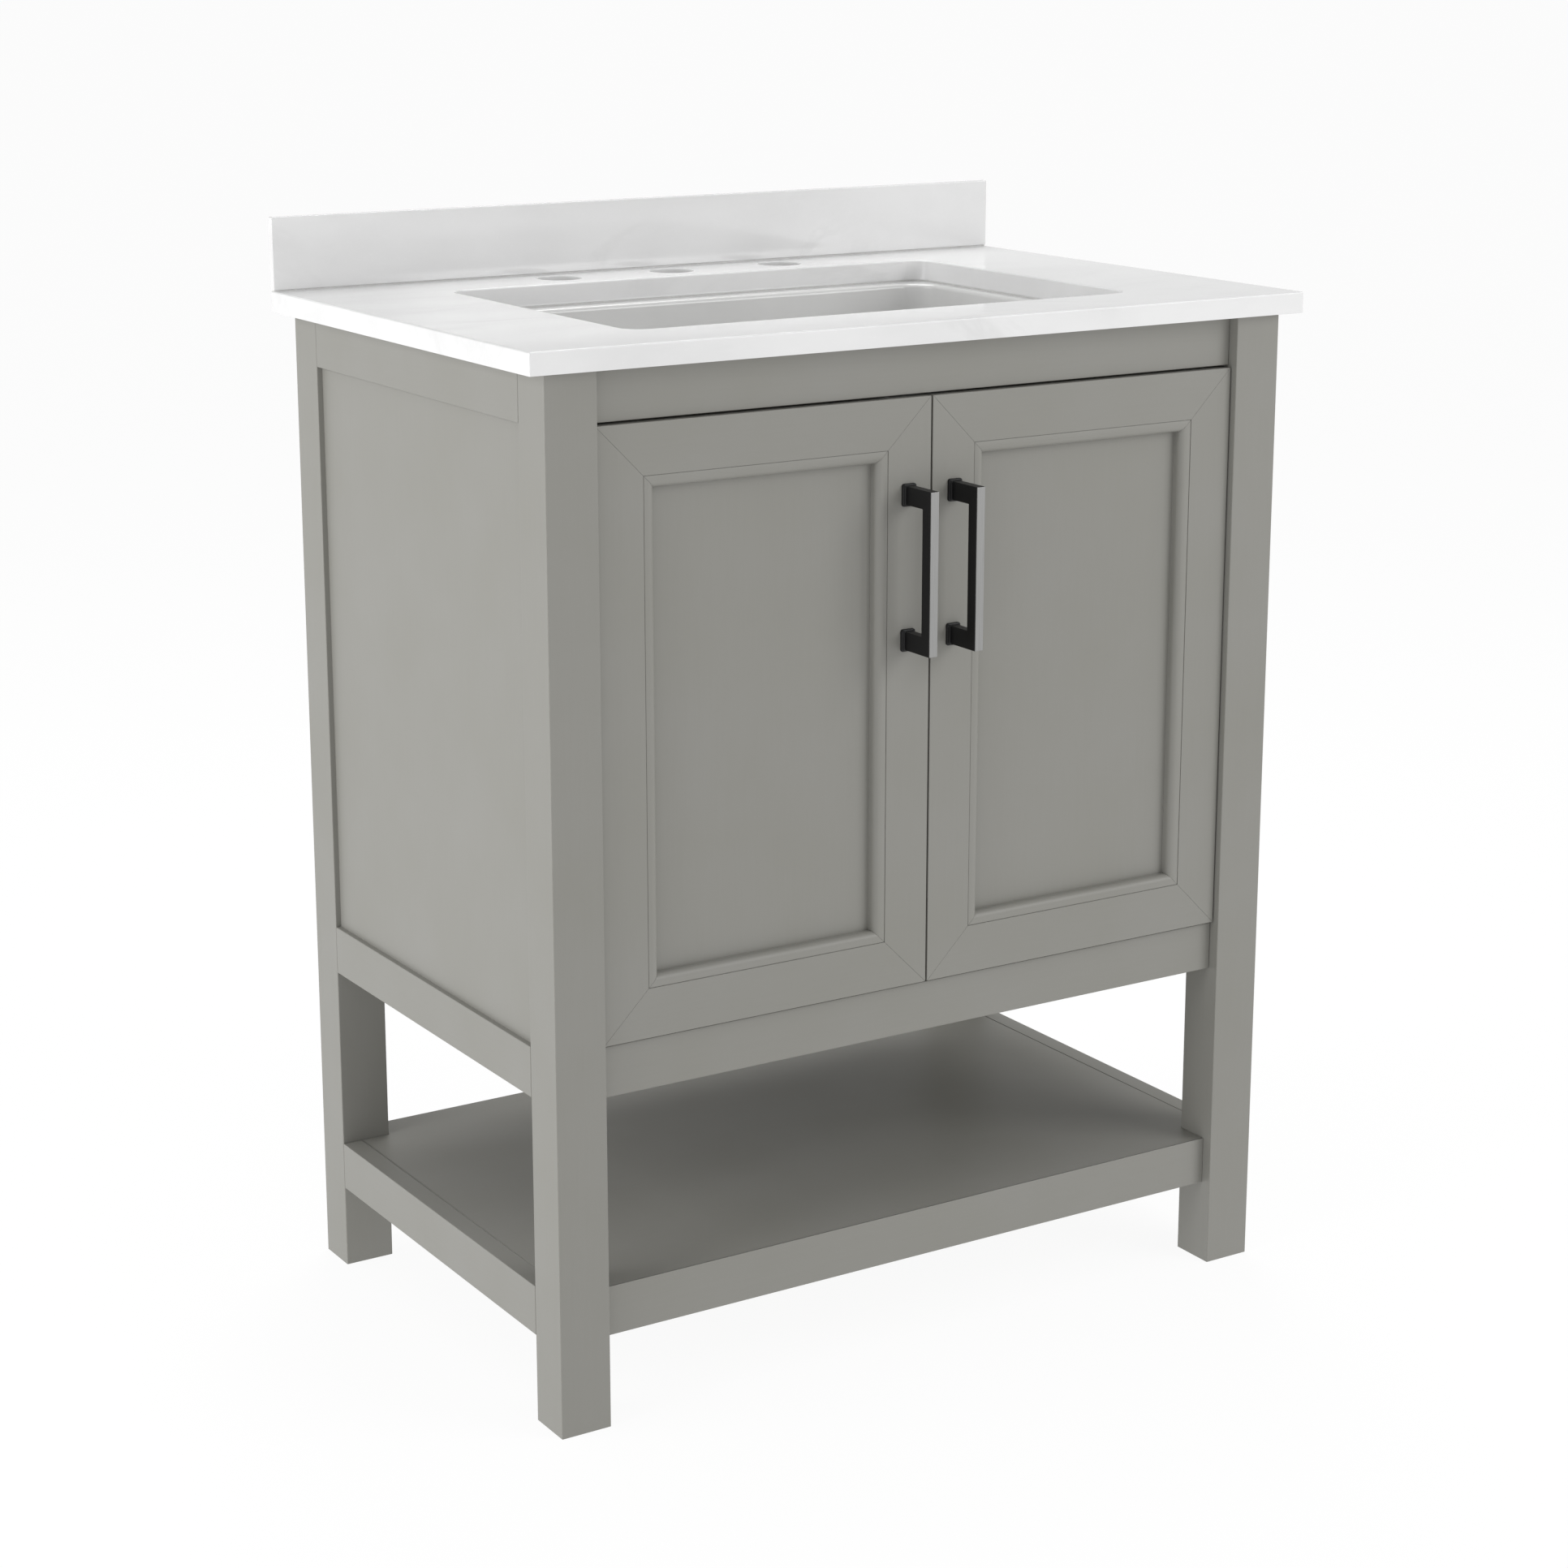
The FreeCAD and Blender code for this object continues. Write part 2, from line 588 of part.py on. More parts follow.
for side, sign in SIDES.items():
    left = "-cabinet_width / 2 + leg_width + hinge_gap" if side == "left" else "door_gap / 2"
    right = "(%s) + %s" % (left, DOOR_WIDTH)
    top = "(%s) + (%s)" % (DOOR_LOW, DOOR_HEIGHT)
    casting, strip, pull_screws = pull_parts(side)
    door = "door_%s_" % side

    bottom_bar = place(frame_bar(DOOR_WIDTH), left, DOOR_Y, DOOR_LOW)
    node(door + "bottom_rail", bottom_bar)
    top_bar = place(turn(frame_bar(DOOR_WIDTH), (0, 1, 0), 180), right, DOOR_Y, top)
    node(door + "top_rail", top_bar)
    left_bar = place(turn(frame_bar(DOOR_HEIGHT), (0, 1, 0), 90), left, DOOR_Y, top)
    right_bar = place(turn(frame_bar(DOOR_HEIGHT), (0, 1, 0), -90), right, DOOR_Y, DOOR_LOW)
    hinge_bar, meeting_bar = (left_bar, right_bar) if side == "left" else (right_bar, left_bar)
    node(door + "hinge_stile", cut(hinge_bar, door_blocks[side] + door_screws[side]))
    node(door + "meeting_stile", cut(meeting_bar, pull_screws))

    inset = "(%s - groove_depth)" % BAR_OUTER
    panel = box("%s + %s + joint_gap" % (left, inset), DOOR_Y + " + panel_depth",
                "%s + %s + joint_gap" % (DOOR_LOW, inset),
                "%s - 2 * %s - 2 * joint_gap" % (DOOR_WIDTH, inset), "panel_thickness",
                "%s - 2 * %s - 2 * joint_gap" % (DOOR_HEIGHT, inset))
    node(door + "panel", panel)
    node("pull_" + side, casting)
    node("pull_face_" + side, strip)
    node("pull_screws_" + side, gather(pull_screws))

    strike_x = "%d * (door_gap / 2 + strike_from_edge + strike_width / 2) - strike_width / 2" % sign
    strike = box(strike_x, DOOR_Y + " + door_thickness", top + " - strike_from_top - strike_height",
                 "strike_width", "strike_thickness", "strike_height")
    node("strike_plate_" + side, strike)

# The catch hangs under the top rail from a tab on the rail's back face, just behind the plates.
CATCH_X = "-catch_width / 2"
node("magnetic_catch", fuse([
    box(CATCH_X, DOOR_Y + " + door_thickness + catch_gap", TOP_RAIL_Z + " - catch_height - joint_gap",
        "catch_width", "catch_depth", "catch_height"),
    box(CATCH_X, RAIL_Y + " + board", TOP_RAIL_Z + " - catch_sheet", "catch_width", "catch_sheet",
        "catch_tab"),
]))

# ---------------------------------------------------------------- stone top and backsplash

TOP_FRONT = "leg_front_y - front_overhang"
TOP_BACK = "leg_front_y - front_overhang + top_depth"

slab = new_body()
slab_outline = sketch_on(slab, "XY_Plane", "Slab")
outline(slab_outline, [("0", "0"), ("top_width", "0"), ("top_width", "top_depth"), ("0", "top_depth")])
pad(slab, slab_outline, "top_thickness")
openings = sketch_on(slab, "XY_Plane", "Openings")
rounded_rectangle(openings, "top_width / 2 - cutout_width / 2", "cutout_front",
                  "cutout_width", "cutout_depth", "cutout_radius")
for offset in ("- faucet_spacing", "", "+ faucet_spacing"):
    circle_at(openings, "top_width / 2 " + offset, "top_depth - faucet_back", "faucet_radius")
pocket(slab, openings)
upper, far_x, far_y = size("top_thickness"), size("top_width"), size("top_depth")
inside = size("faucet_back") - size("faucet_radius")


def outer_top_edge(edge):
    """The slab's front and side edges on its upper face. Its back edge is under the backsplash."""
    bounds = edge.BoundBox
    outer = bounds.YMax < NEAR or bounds.XMax < NEAR or bounds.XMin > far_x - NEAR
    return outer and bounds.ZMin > upper - NEAR


def opening_edge(edge):
    """An upper edge of the sink's cut-out or of a faucet hole."""
    bounds = edge.BoundBox
    middle = bounds.XMin > inside and bounds.XMax < far_x - inside
    return (middle and bounds.ZMin > upper - NEAR
            and bounds.YMin > inside and bounds.YMax < far_y - inside + NEAR)


soften(slab, "top_easing", outer_top_edge)
soften(slab, "easing", opening_edge)
place(slab, "-top_width / 2", TOP_FRONT, "leg_height")
node("countertop", slab)

splash = box("-top_width / 2", TOP_BACK + " - splash_thickness",
             "leg_height + top_thickness + seal", "top_width", "splash_thickness",
             "splash_height - seal")
node("backsplash", eased(splash))
node("backsplash_seal", box("-top_width / 2 + seal_inset",
                            TOP_BACK + " - splash_thickness + seal_inset",
                            "leg_height + top_thickness", "top_width - 2 * seal_inset",
                            "splash_thickness - 2 * seal_inset", "seal"))

# ---------------------------------------------------------------- sink

RIM_LEFT = "-bowl_width / 2 - rim_side"
RIM_WIDTH = "bowl_width + 2 * rim_side"
RIM_DEPTH = "bowl_depth + rim_front + rim_back"
BOWL_Y = "leg_front_y - front_overhang + bowl_front"
RIM_Z = "leg_height - rim_seal"

sink = new_body()
rim = sketch_on(sink, "XY_Plane", "Rim")
rounded_rectangle(rim, "0", "0", RIM_WIDTH, RIM_DEPTH, "rim_radius")
pad(sink, rim, "rim_thickness", reverse=True)
shell = sketch_on(sink, "XY_Plane", "Shell")
rounded_rectangle(shell, "rim_side - bowl_wall", "rim_front - bowl_wall",
                  "bowl_width + 2 * bowl_wall", "bowl_depth + 2 * bowl_wall",
                  "bowl_radius + bowl_wall")
outside = pad(sink, shell, "bowl_height + bowl_floor", reverse=True)
bind(outside, "TaperAngle", "-bowl_draft")
hollow = sketch_on(sink, "XY_Plane", "Hollow")
rounded_rectangle(hollow, "rim_side", "rim_front", "bowl_width", "bowl_depth", "bowl_radius")
inside = pocket(sink, hollow, "bowl_height")
bind(inside, "TaperAngle", "-bowl_draft")
doc.recompute()
depth = size("bowl_height")
soften(sink, "bowl_fillet", lambda edge: abs(edge.BoundBox.ZMin + depth) < NEAR
       and abs(edge.BoundBox.ZMax + depth) < NEAR)
for name, radius, length in (("Recess", "drain_recess", "bowl_height + recess_depth"),
                             ("Drain", "drain_radius", None)):
    round_hole = sketch_on(sink, "XY_Plane", name)
    circle_at(round_hole, "rim_side + bowl_width / 2", "rim_front + bowl_depth / 2", radius)
    pocket(sink, round_hole, length)
place(sink, RIM_LEFT, BOWL_Y + " - rim_front", RIM_Z)
overflow = cylinder("0", BOWL_Y + " - 2 * bowl_wall", RIM_Z + " - overflow_drop",
                    "overflow_radius", "4 * bowl_wall", (0, 1, 0))
node("sink_bowl", cut(sink, [overflow]))

rings = [
    box("-cutout_width / 2 - %s" % out, TOP_FRONT + " + cutout_front - %s" % out, RIM_Z,
        "cutout_width + 2 * %s" % out, "cutout_depth + 2 * %s" % out, "rim_seal")
    for out in ("seal_outer", "seal_inner")
]
node("sink_seal", cut(rings[0], [rings[1]]))

clips = []
for x in ("-cutout_width / 2 - clip_width - seal_inner", "cutout_width / 2 + seal_inner"):
    for y in ("clip_from_end", "bowl_depth - clip_from_end"):
        clips.append(box(x, BOWL_Y + " + %s - clip_length / 2" % y,
                         RIM_Z + " - rim_thickness - clip_thickness", "clip_width", "clip_length",
                         "clip_thickness"))
node("sink_clips", gather(clips))

# ---------------------------------------------------------------- checks and files

doc.recompute()
for piece in doc.Objects:
    bad = [state for state in piece.State if state in ("Invalid", "Error")]
    if bad:
        raise RuntimeError("%s (%s) is %s" % (piece.Label, piece.Name, bad))
for name, piece in nodes.items():
    shape = piece.Shape
    if shape.isNull() or not shape.isValid() or not shape.Solids:
        raise RuntimeError("%s has no valid solid" % name)
for name, piece in nodes.items():
    piece.Shape.exportStep("parts/%s.step" % name)
print(len(nodes), "sub-parts written")
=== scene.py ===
# %% [markdown]
# # A bathroom vanity cabinet
# The cabinet is made of painted wood, with two framed doors over an open shelf. A polished stone
# top carries a backsplash and an undermount sink, and each door has a square black pull. The packed
# model already holds every part at its real size, so this lesson gives each one its look: some
# parts only need a material, and some are drawn again as finer surfaces.

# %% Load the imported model
import json
import math

import bmesh
import bpy
import numpy as np
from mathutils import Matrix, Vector
from mathutils.geometry import tessellate_polygon


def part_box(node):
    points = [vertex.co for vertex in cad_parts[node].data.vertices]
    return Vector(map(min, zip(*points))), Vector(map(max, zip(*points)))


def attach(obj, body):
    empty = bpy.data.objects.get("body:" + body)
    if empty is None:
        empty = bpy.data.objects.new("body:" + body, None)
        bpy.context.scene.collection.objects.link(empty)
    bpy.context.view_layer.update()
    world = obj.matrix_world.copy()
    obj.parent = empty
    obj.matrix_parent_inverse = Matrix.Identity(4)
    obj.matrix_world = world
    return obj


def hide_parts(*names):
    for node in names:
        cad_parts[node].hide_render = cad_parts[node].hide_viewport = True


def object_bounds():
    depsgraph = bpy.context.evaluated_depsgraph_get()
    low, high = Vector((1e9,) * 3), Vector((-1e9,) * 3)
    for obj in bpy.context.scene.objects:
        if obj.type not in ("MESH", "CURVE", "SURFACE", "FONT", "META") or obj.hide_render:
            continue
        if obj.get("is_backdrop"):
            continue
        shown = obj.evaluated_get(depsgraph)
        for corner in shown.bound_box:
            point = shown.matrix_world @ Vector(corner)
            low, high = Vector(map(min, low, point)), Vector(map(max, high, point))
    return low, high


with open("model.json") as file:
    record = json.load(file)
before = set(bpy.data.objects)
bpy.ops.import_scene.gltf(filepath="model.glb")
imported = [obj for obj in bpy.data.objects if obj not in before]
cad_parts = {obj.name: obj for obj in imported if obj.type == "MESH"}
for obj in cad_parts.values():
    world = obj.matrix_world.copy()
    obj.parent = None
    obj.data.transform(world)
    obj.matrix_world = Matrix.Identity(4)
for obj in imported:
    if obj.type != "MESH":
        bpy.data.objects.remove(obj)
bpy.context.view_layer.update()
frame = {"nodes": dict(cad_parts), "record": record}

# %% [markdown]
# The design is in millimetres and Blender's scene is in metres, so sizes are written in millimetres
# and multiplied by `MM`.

MM = 0.001

# %% [markdown]
# ## The camera
# A lens of about 74 mm stands a little higher than the top and to the left of the cabinet. It looks
# down by 14 degrees, so that the whole cabinet fits in the frame with the least possible shift.
# Turning the camera by its compass bearing and its pitch keeps it level.

# %% Place the camera
EYE = (-1.5054, -2.3842, 1.2185)
BEARING, PITCH = math.radians(32.101), math.radians(13.738)
LENS_MM, SHIFT = 74.22, -0.05

camera = bpy.data.objects.new("camera", bpy.data.cameras.new("camera"))
bpy.context.scene.collection.objects.link(camera)
camera.location = EYE
camera.rotation_euler = (math.pi / 2 - PITCH, 0, -BEARING)
camera.data.lens = LENS_MM
camera.data.shift_y = SHIFT
camera.data.clip_start, camera.data.clip_end = 0.1, 200
bpy.context.scene.camera = camera
print("camera", LENS_MM, "mm, pitch", round(math.degrees(PITCH), 1))

# %% [markdown]
# ## Colours and nodes
# A colour is written as the sRGB hex value that a picker shows. Shaders work in linear light, so one
# function converts it. Another small function adds a shader node with its settings and its links,
# which is all that a procedural material needs.

# %% Helpers for materials


def linear(code):
    """An sRGB hex colour as linear red, green, blue and alpha."""
    share = np.array([int(code[i:i + 2], 16) for i in (0, 2, 4)]) / 255
    light = np.where(share <= 0.04045, share / 12.92, ((share + 0.055) / 1.055) ** 2.4)
    return (*light.tolist(), 1.0)


def add(tree, kind, inputs=None, **settings):
    """Add a node. An input takes a number or colour, or another node's output."""
    made = tree.nodes.new(kind)
    for name, value in settings.items():
        setattr(made, name, value)
    for name, value in (inputs or {}).items():
        if isinstance(value, bpy.types.NodeSocket):
            tree.links.new(value, made.inputs[name])
        else:
            made.inputs[name].default_value = value
    return made


def new_finish(name):
    """An empty material: its node tree and the principled shader that its surface uses."""
    material = bpy.data.materials.new(name)
    material.use_nodes = True
    tree = material.node_tree
    tree.nodes.clear()
    shader = add(tree, "ShaderNodeBsdfPrincipled")
    add(tree, "ShaderNodeOutputMaterial", {"Surface": shader.outputs["BSDF"]})
    return material, tree, shader


def place_pattern(tree, stretch=(1, 1, 1)):
    """Object coordinates, stretched along an axis where a pattern runs that way."""
    where = add(tree, "ShaderNodeTexCoord")
    return add(tree, "ShaderNodeMapping",
               {"Vector": where.outputs["Object"], "Scale": stretch}).outputs["Vector"]


def grain(tree, place, size_mm, detail=2.0, roughness=0.5, distortion=0.0):
    """Noise whose lumps are about size_mm across."""
    return add(tree, "ShaderNodeTexNoise", {
        "Vector": place, "Scale": 1 / (size_mm * MM), "Detail": detail,
        "Roughness": roughness, "Distortion": distortion,
    }).outputs["Fac"]


def ramp(tree, value, low, high, out_low=0.0, out_high=1.0):
    """A value stretched from one range onto another, and held at its ends."""
    return add(tree, "ShaderNodeMapRange", {
        "Value": value, "From Min": low, "From Max": high,
        "To Min": out_low, "To Max": out_high,
    }).outputs["Result"]


def blend(tree, share, first, second):
    """A colour between two others."""
    mixer = add(tree, "ShaderNodeMix", data_type="RGBA")
    for socket, value in ((0, share), (6, first), (7, second)):
        if isinstance(value, bpy.types.NodeSocket):
            tree.links.new(value, mixer.inputs[socket])
        else:
            mixer.inputs[socket].default_value = value
    return mixer.outputs[2]


def relief(tree, shader, height, depth_mm, strength=1.0, under=None):
    """Bump of a real depth in millimetres."""
    inputs = {"Height": height, "Distance": depth_mm * MM, "Strength": strength}
    if under is not None:
        inputs["Normal"] = under
    bump = add(tree, "ShaderNodeBump", inputs).outputs["Normal"]
    tree.links.new(bump, shader.inputs["Normal"])
    return bump


print("material helpers ready")

# %% [markdown]
# ## Satin lacquer on wood
# The cabinet is sprayed with a warm grey satin lacquer over sealed hardwood and board. Sprayed
# lacquer has no brush marks, but it dries with a faint orange peel, and a little of the grain
# telegraphs through along each board. The real peel is 1 to 2 mm across. It is drawn at 3 mm, which
# is as coarse as it needs to be to show.

# %% Satin lacquer


def satin_lacquer(name, along):
    """Grey lacquer whose faint grain runs along one axis: 0 for X, 1 for Y and 2 for Z."""
    material, tree, shader = new_finish(name)
    even = place_pattern(tree)
    stretch = [1.0, 1.0, 1.0]
    stretch[along] = 1 / 25
    lengthwise = place_pattern(tree, stretch)
    mottle = grain(tree, even, 90, detail=3)
    fibre = grain(tree, lengthwise, 2.4, detail=3, roughness=0.6)
    peel = grain(tree, even, 3, detail=1)
    body = blend(tree, ramp(tree, mottle, 0.3, 0.7), linear("8A8984"), linear("888781"))
    tinted = blend(tree, ramp(tree, fibre, 0.35, 0.75, 0, 0.06), body, linear("787770"))
    tree.links.new(tinted, shader.inputs["Base Color"])
    tree.links.new(ramp(tree, mottle, 0.2, 0.8, 0.38, 0.42), shader.inputs["Roughness"])
    shader.inputs["IOR"].default_value = 1.42
    grain_relief = relief(tree, shader, fibre, 0.04, strength=0.3)
    relief(tree, shader, peel, 0.04, strength=0.3, under=grain_relief)
    return material


LACQUER = {
    axis: satin_lacquer("satin_lacquer_grain_" + axis, number)
    for number, axis in enumerate("xyz")
}
print("lacquers:", [material.name for material in LACQUER.values()])

# %% [markdown]
# ## Polished engineered stone
# The top and the backsplash are quartz agglomerate: crushed white quartz in resin, pressed and
# polished. It is nearly white, with soft grey clouds and a few hair-thin veins, and the polish makes
# it a mirror at a low angle. A vein is where a noise crosses its middle value, so it is a thin band
# of that value, and a second noise lets it fade in and out.

# %% Engineered stone


def engineered_stone(name):
    """White quartz with soft clouds and thin veins under a polish."""
    material, tree, shader = new_finish(name)
    place = place_pattern(tree)
    slanted = add(tree, "ShaderNodeMapping", {
        "Vector": place, "Rotation": (0.2, 0.35, 0.6), "Scale": (0.45, 1.0, 1.0),
    }).outputs["Vector"]
    clouds = grain(tree, slanted, 170, detail=5, roughness=0.55, distortion=0.6)
    field = grain(tree, slanted, 210, detail=7, roughness=0.6, distortion=1.3)
    fade = grain(tree, place, 130, detail=2)
    off_middle = add(tree, "ShaderNodeMath", {0: field, 1: 0.5}, operation="SUBTRACT").outputs[0]
    distance = add(tree, "ShaderNodeMath", {0: off_middle}, operation="ABSOLUTE").outputs[0]
    vein = ramp(tree, distance, 0.0, 0.035, 1.0, 0.0)
    faded = add(tree, "ShaderNodeMath", {0: vein, 1: ramp(tree, fade, 0.45, 0.70, 0.0, 0.16)},
                operation="MULTIPLY").outputs[0]
    ground = blend(tree, ramp(tree, clouds, 0.36, 0.68), linear("E4E4E4"), linear("D9D9D9"))
    speck = grain(tree, place, 2.2, detail=1)
    sparkle = blend(tree, ramp(tree, speck, 0.62, 0.78, 0.0, 0.12), ground, linear("EEEEEE"))
    tree.links.new(blend(tree, faded, sparkle, linear("A9A9A8")), shader.inputs["Base Color"])
    tree.links.new(ramp(tree, speck, 0.2, 0.8, 0.07, 0.11), shader.inputs["Roughness"])
    shader.inputs["IOR"].default_value = 1.54
    return material


STONE = engineered_stone("polished_engineered_stone")
print("stone:", STONE.name)

# %% [markdown]
# ## Glazed china
# The bowl is vitreous china, cast in a mould and fired with a glassy glaze. The glaze is smooth and
# bright, and pools very slightly, so it gets a wide, shallow wave and a low roughness. Its colour is
# a light grey, not white: painted shade for the shade inside the bowl.

# %% Glazed vitreous china


def glazed_china(name):
    """Glaze with a long, shallow wave. Its white is greyed, as painted shade for the shade inside the
    bowl.
    """
    material, tree, shader = new_finish(name)
    place = place_pattern(tree)
    wave = grain(tree, place, 38, detail=1)
    # The white is greyed to light grey: painted shade for the shade that falls inside the bowl.
    white = blend(tree, ramp(tree, grain(tree, place, 60), 0.3, 0.7), linear("D2D2D1"), linear("CDCDCC"))
    tree.links.new(white, shader.inputs["Base Color"])
    tree.links.new(ramp(tree, wave, 0.2, 0.8, 0.05, 0.09), shader.inputs["Roughness"])
    shader.inputs["IOR"].default_value = 1.52
    relief(tree, shader, wave, 0.25, strength=0.3)
    return material


CHINA = glazed_china("glazed_vitreous_china")
print("china:", CHINA.name)

# %% [markdown]
# ## Powder coat, plated steel and silicone
# The pulls are zinc castings under a matt black powder coat, whose fine grain spreads the light. A
# satin nickel strip faces each bar, brushed along its length. Hinges, screws and the catch are zinc
# or nickel plated steel with a soft, uneven shine. The seals are cured silicone.

# %% Metals and silicone


def powder_coat(name):
    """Matt black with the grain of baked powder, about 1 mm across."""
    material, tree, shader = new_finish(name)
    place = place_pattern(tree)
    fine = grain(tree, place, 1.1, detail=2)
    tone = blend(tree, ramp(tree, fine, 0.3, 0.7), linear("0D0D0E"), linear("141415"))
    tree.links.new(tone, shader.inputs["Base Color"])
    tree.links.new(ramp(tree, fine, 0.3, 0.7, 0.38, 0.5), shader.inputs["Roughness"])
    shader.inputs["IOR"].default_value = 1.36
    relief(tree, shader, fine, 0.05, strength=0.5)
    return material


def plated_metal(name, colour, darker, rough, stretch, lump_mm):
    """Metal whose roughness and colour vary a little along its brushing or its plating."""
    material, tree, shader = new_finish(name)
    shader.inputs["Metallic"].default_value = 1.0
    lines = grain(tree, place_pattern(tree, stretch), lump_mm, detail=2)
    tone = blend(tree, ramp(tree, lines, 0.3, 0.7), linear(colour), linear(darker))
    tree.links.new(tone, shader.inputs["Base Color"])
    tree.links.new(ramp(tree, lines, 0.3, 0.7, rough - 0.05, rough + 0.07),
                   shader.inputs["Roughness"])
    relief(tree, shader, lines, 0.02, strength=0.3)
    return material


def cured_silicone(name):
    """Pale rubbery bead with a tooled, slightly wavy face."""
    material, tree, shader = new_finish(name)
    wave = grain(tree, place_pattern(tree), 9, detail=2)
    tone = blend(tree, ramp(tree, wave, 0.3, 0.7), linear("D6D6D4"), linear("CBCBC9"))
    tree.links.new(tone, shader.inputs["Base Color"])
    shader.inputs["Roughness"].default_value = 0.5
    relief(tree, shader, wave, 0.2, strength=0.4)
    return material


BLACK = powder_coat("matt_black_powder_coat")
NICKEL = plated_metal("brushed_satin_nickel", "9C9C9B", "939392", 0.40, (1, 1, 1 / 60), 0.6)
STEEL = plated_metal("nickel_plated_steel", "C4C4C2", "B4B4B1", 0.28, (1, 1, 1), 6)
ZINC = plated_metal("zinc_plated_steel", "BFC2C4", "A3A8AC", 0.36, (1, 1, 1), 3.5)
SILICONE = cured_silicone("cured_silicone")
print("metals:", [material.name for material in (BLACK, NICKEL, STEEL, ZINC)])

# %% [markdown]
# ## Surfaces from grids
# A new piece is a grid of points worked out by a formula, and its faces are the quads between
# neighbouring points. `make_piece` puts the arrays into a mesh, closes the seams, turns the faces
# outwards and shades it: smooth over its rounds, and exactly flat on its flats, which a weighted
# normal does.

# %% Grids and pieces

SHARP = math.radians(40)


def quads(rows, columns, closed=False):
    """Corner numbers of a grid's quads. closed joins the last column to the first."""
    number = np.arange(rows * columns).reshape(rows, columns)
    if closed:
        number = np.hstack([number, number[:, :1]])
    corners = (number[:-1, :-1], number[1:, :-1], number[1:, 1:], number[:-1, 1:])
    return np.stack(corners, axis=-1).reshape(-1, 4)


def make_piece(name, points, faces, finish, body, stands_for=()):
    """A shaded mesh object in metres from points in millimetres, riding on a body."""
    mesh = bpy.data.meshes.new(name)
    mesh.from_pydata((np.asarray(points) * MM).tolist(), [], faces)
    work = bmesh.new()
    work.from_mesh(mesh)
    bmesh.ops.remove_doubles(work, verts=work.verts, dist=1e-6)
    bmesh.ops.recalc_face_normals(work, faces=work.faces)
    work.to_mesh(mesh)
    work.free()
    mesh.shade_smooth()
    mesh.set_sharp_from_angle(angle=SHARP)
    mesh.materials.append(finish)
    made = bpy.data.objects.new(name, mesh)
    bpy.context.scene.collection.objects.link(made)
    made.modifiers.new("flat faces stay flat", "WEIGHTED_NORMAL").keep_sharp = True
    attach(made, body)
    if stands_for:
        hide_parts(*stands_for)
    print(name, len(mesh.vertices), "points")


def box_mm(node):
    """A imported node's low and high corners, in millimetres."""
    low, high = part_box(node)
    return np.array(low) / MM, np.array(high) / MM


# %% [markdown]
# ## Eased boards
# Rails and aprons are planed boards whose edges are eased with a light sanding and then lacquered,
# so every edge catches a thin line of light. The surface is a box grid pulled onto a rounded box:
# each grid point is set one radius out from its nearest place on the shrunken box.

# %% Draw the boards


def ruler(low, high, radius, steps=4):
    """Grid lines along a side: at equal angles in each round, and none on the flat."""
    near = radius * (1 - np.tan(np.linspace(np.pi / 4, 0, steps + 1)))
    return np.concatenate([low + near, high - near[::-1]])


def eased_board(low, high, radius):
    """A box with round edges. For a grid point g on the box, q is g clipped to the box shrunk
    by the radius r, and the surface point is q + r (g - q) / |g - q|."""
    lines = [ruler(low[axis], high[axis], radius) for axis in range(3)]
    points, faces = [], []
    for axis in range(3):
        first, second = [other for other in range(3) if other != axis]
        u, v = np.meshgrid(lines[first], lines[second], indexing="ij")
        for side in (low[axis], high[axis]):
            grid = np.empty(u.shape + (3,))
            grid[..., first], grid[..., second], grid[..., axis] = u, v, side
            core = np.clip(grid, low + radius, high - radius)
            out = grid - core
            reach = np.linalg.norm(out, axis=-1, keepdims=True)
            faces.append(quads(*u.shape) + sum(len(part) for part in points))
            points.append((core + radius * out / reach).reshape(-1, 3))
    return np.concatenate(points), np.concatenate(faces).tolist()


BOARD_EASING = 0.7
BOARDS = {"top_front_rail": "x", "bottom_front_rail": "x", "top_back_rail": "x", "bottom_back_rail": "x"}
for side in ("left", "right"):
    BOARDS.update({"side_rail_upper_" + side: "y", "side_rail_lower_" + side: "y",
                   "shelf_side_rail_" + side: "y"})
for node, axis in BOARDS.items():
    points, faces = eased_board(*box_mm(node), BOARD_EASING)
    make_piece(node + "_eased", points, faces, LACQUER[axis], "root", [node])

# %% [markdown]
# ## Outlines drawn out into solids
# The shelf board, the stone top and the pulls are all flat outlines with some thickness. An outline
# is a list of corners, each rounded by its own radius. It is drawn out into a wall whose two ends
# curve in, like an eased edge, and the flat faces between the walls are filled with triangles. A
# hole is a second outline that runs the other way round, so that its wall faces into it.

# %% Outlines and drawn solids


def outline(corners, radii, steps=6):
    """Corners rounded by arcs. An arc starts r tan(turn / 2) before its corner, and its centre is
    r to the side that the outline turns to. Returns points and normals out of the material,
    which lies to the left of the way round."""
    corners = np.asarray(corners, float)
    radii = np.broadcast_to(np.asarray(radii, float), len(corners))[:, None]
    arriving = corners - np.roll(corners, 1, axis=0)
    arriving /= np.linalg.norm(arriving, axis=1, keepdims=True)
    leaving = np.roll(arriving, -1, axis=0)
    across = arriving[:, 0] * leaving[:, 1] - arriving[:, 1] * leaving[:, 0]
    turn = np.arctan2(across, (arriving * leaving).sum(axis=1))[:, None]
    way = np.sign(turn)
    left = np.stack([-arriving[:, 1], arriving[:, 0]], axis=1)
    centre = corners - arriving * radii * np.tan(abs(turn) / 2) + left * radii * way
    angle = turn * np.linspace(0, 1, steps + 1)
    from_centre = (-left * way)[:, None, :]
    spoke = np.stack([
        from_centre[..., 0] * np.cos(angle) - from_centre[..., 1] * np.sin(angle),
        from_centre[..., 0] * np.sin(angle) + from_centre[..., 1] * np.cos(angle),
    ], axis=-1)
    points = centre[:, None, :] + radii[:, None, :] * spoke
    return points.reshape(-1, 2), (spoke * way[:, None, :]).reshape(-1, 2)


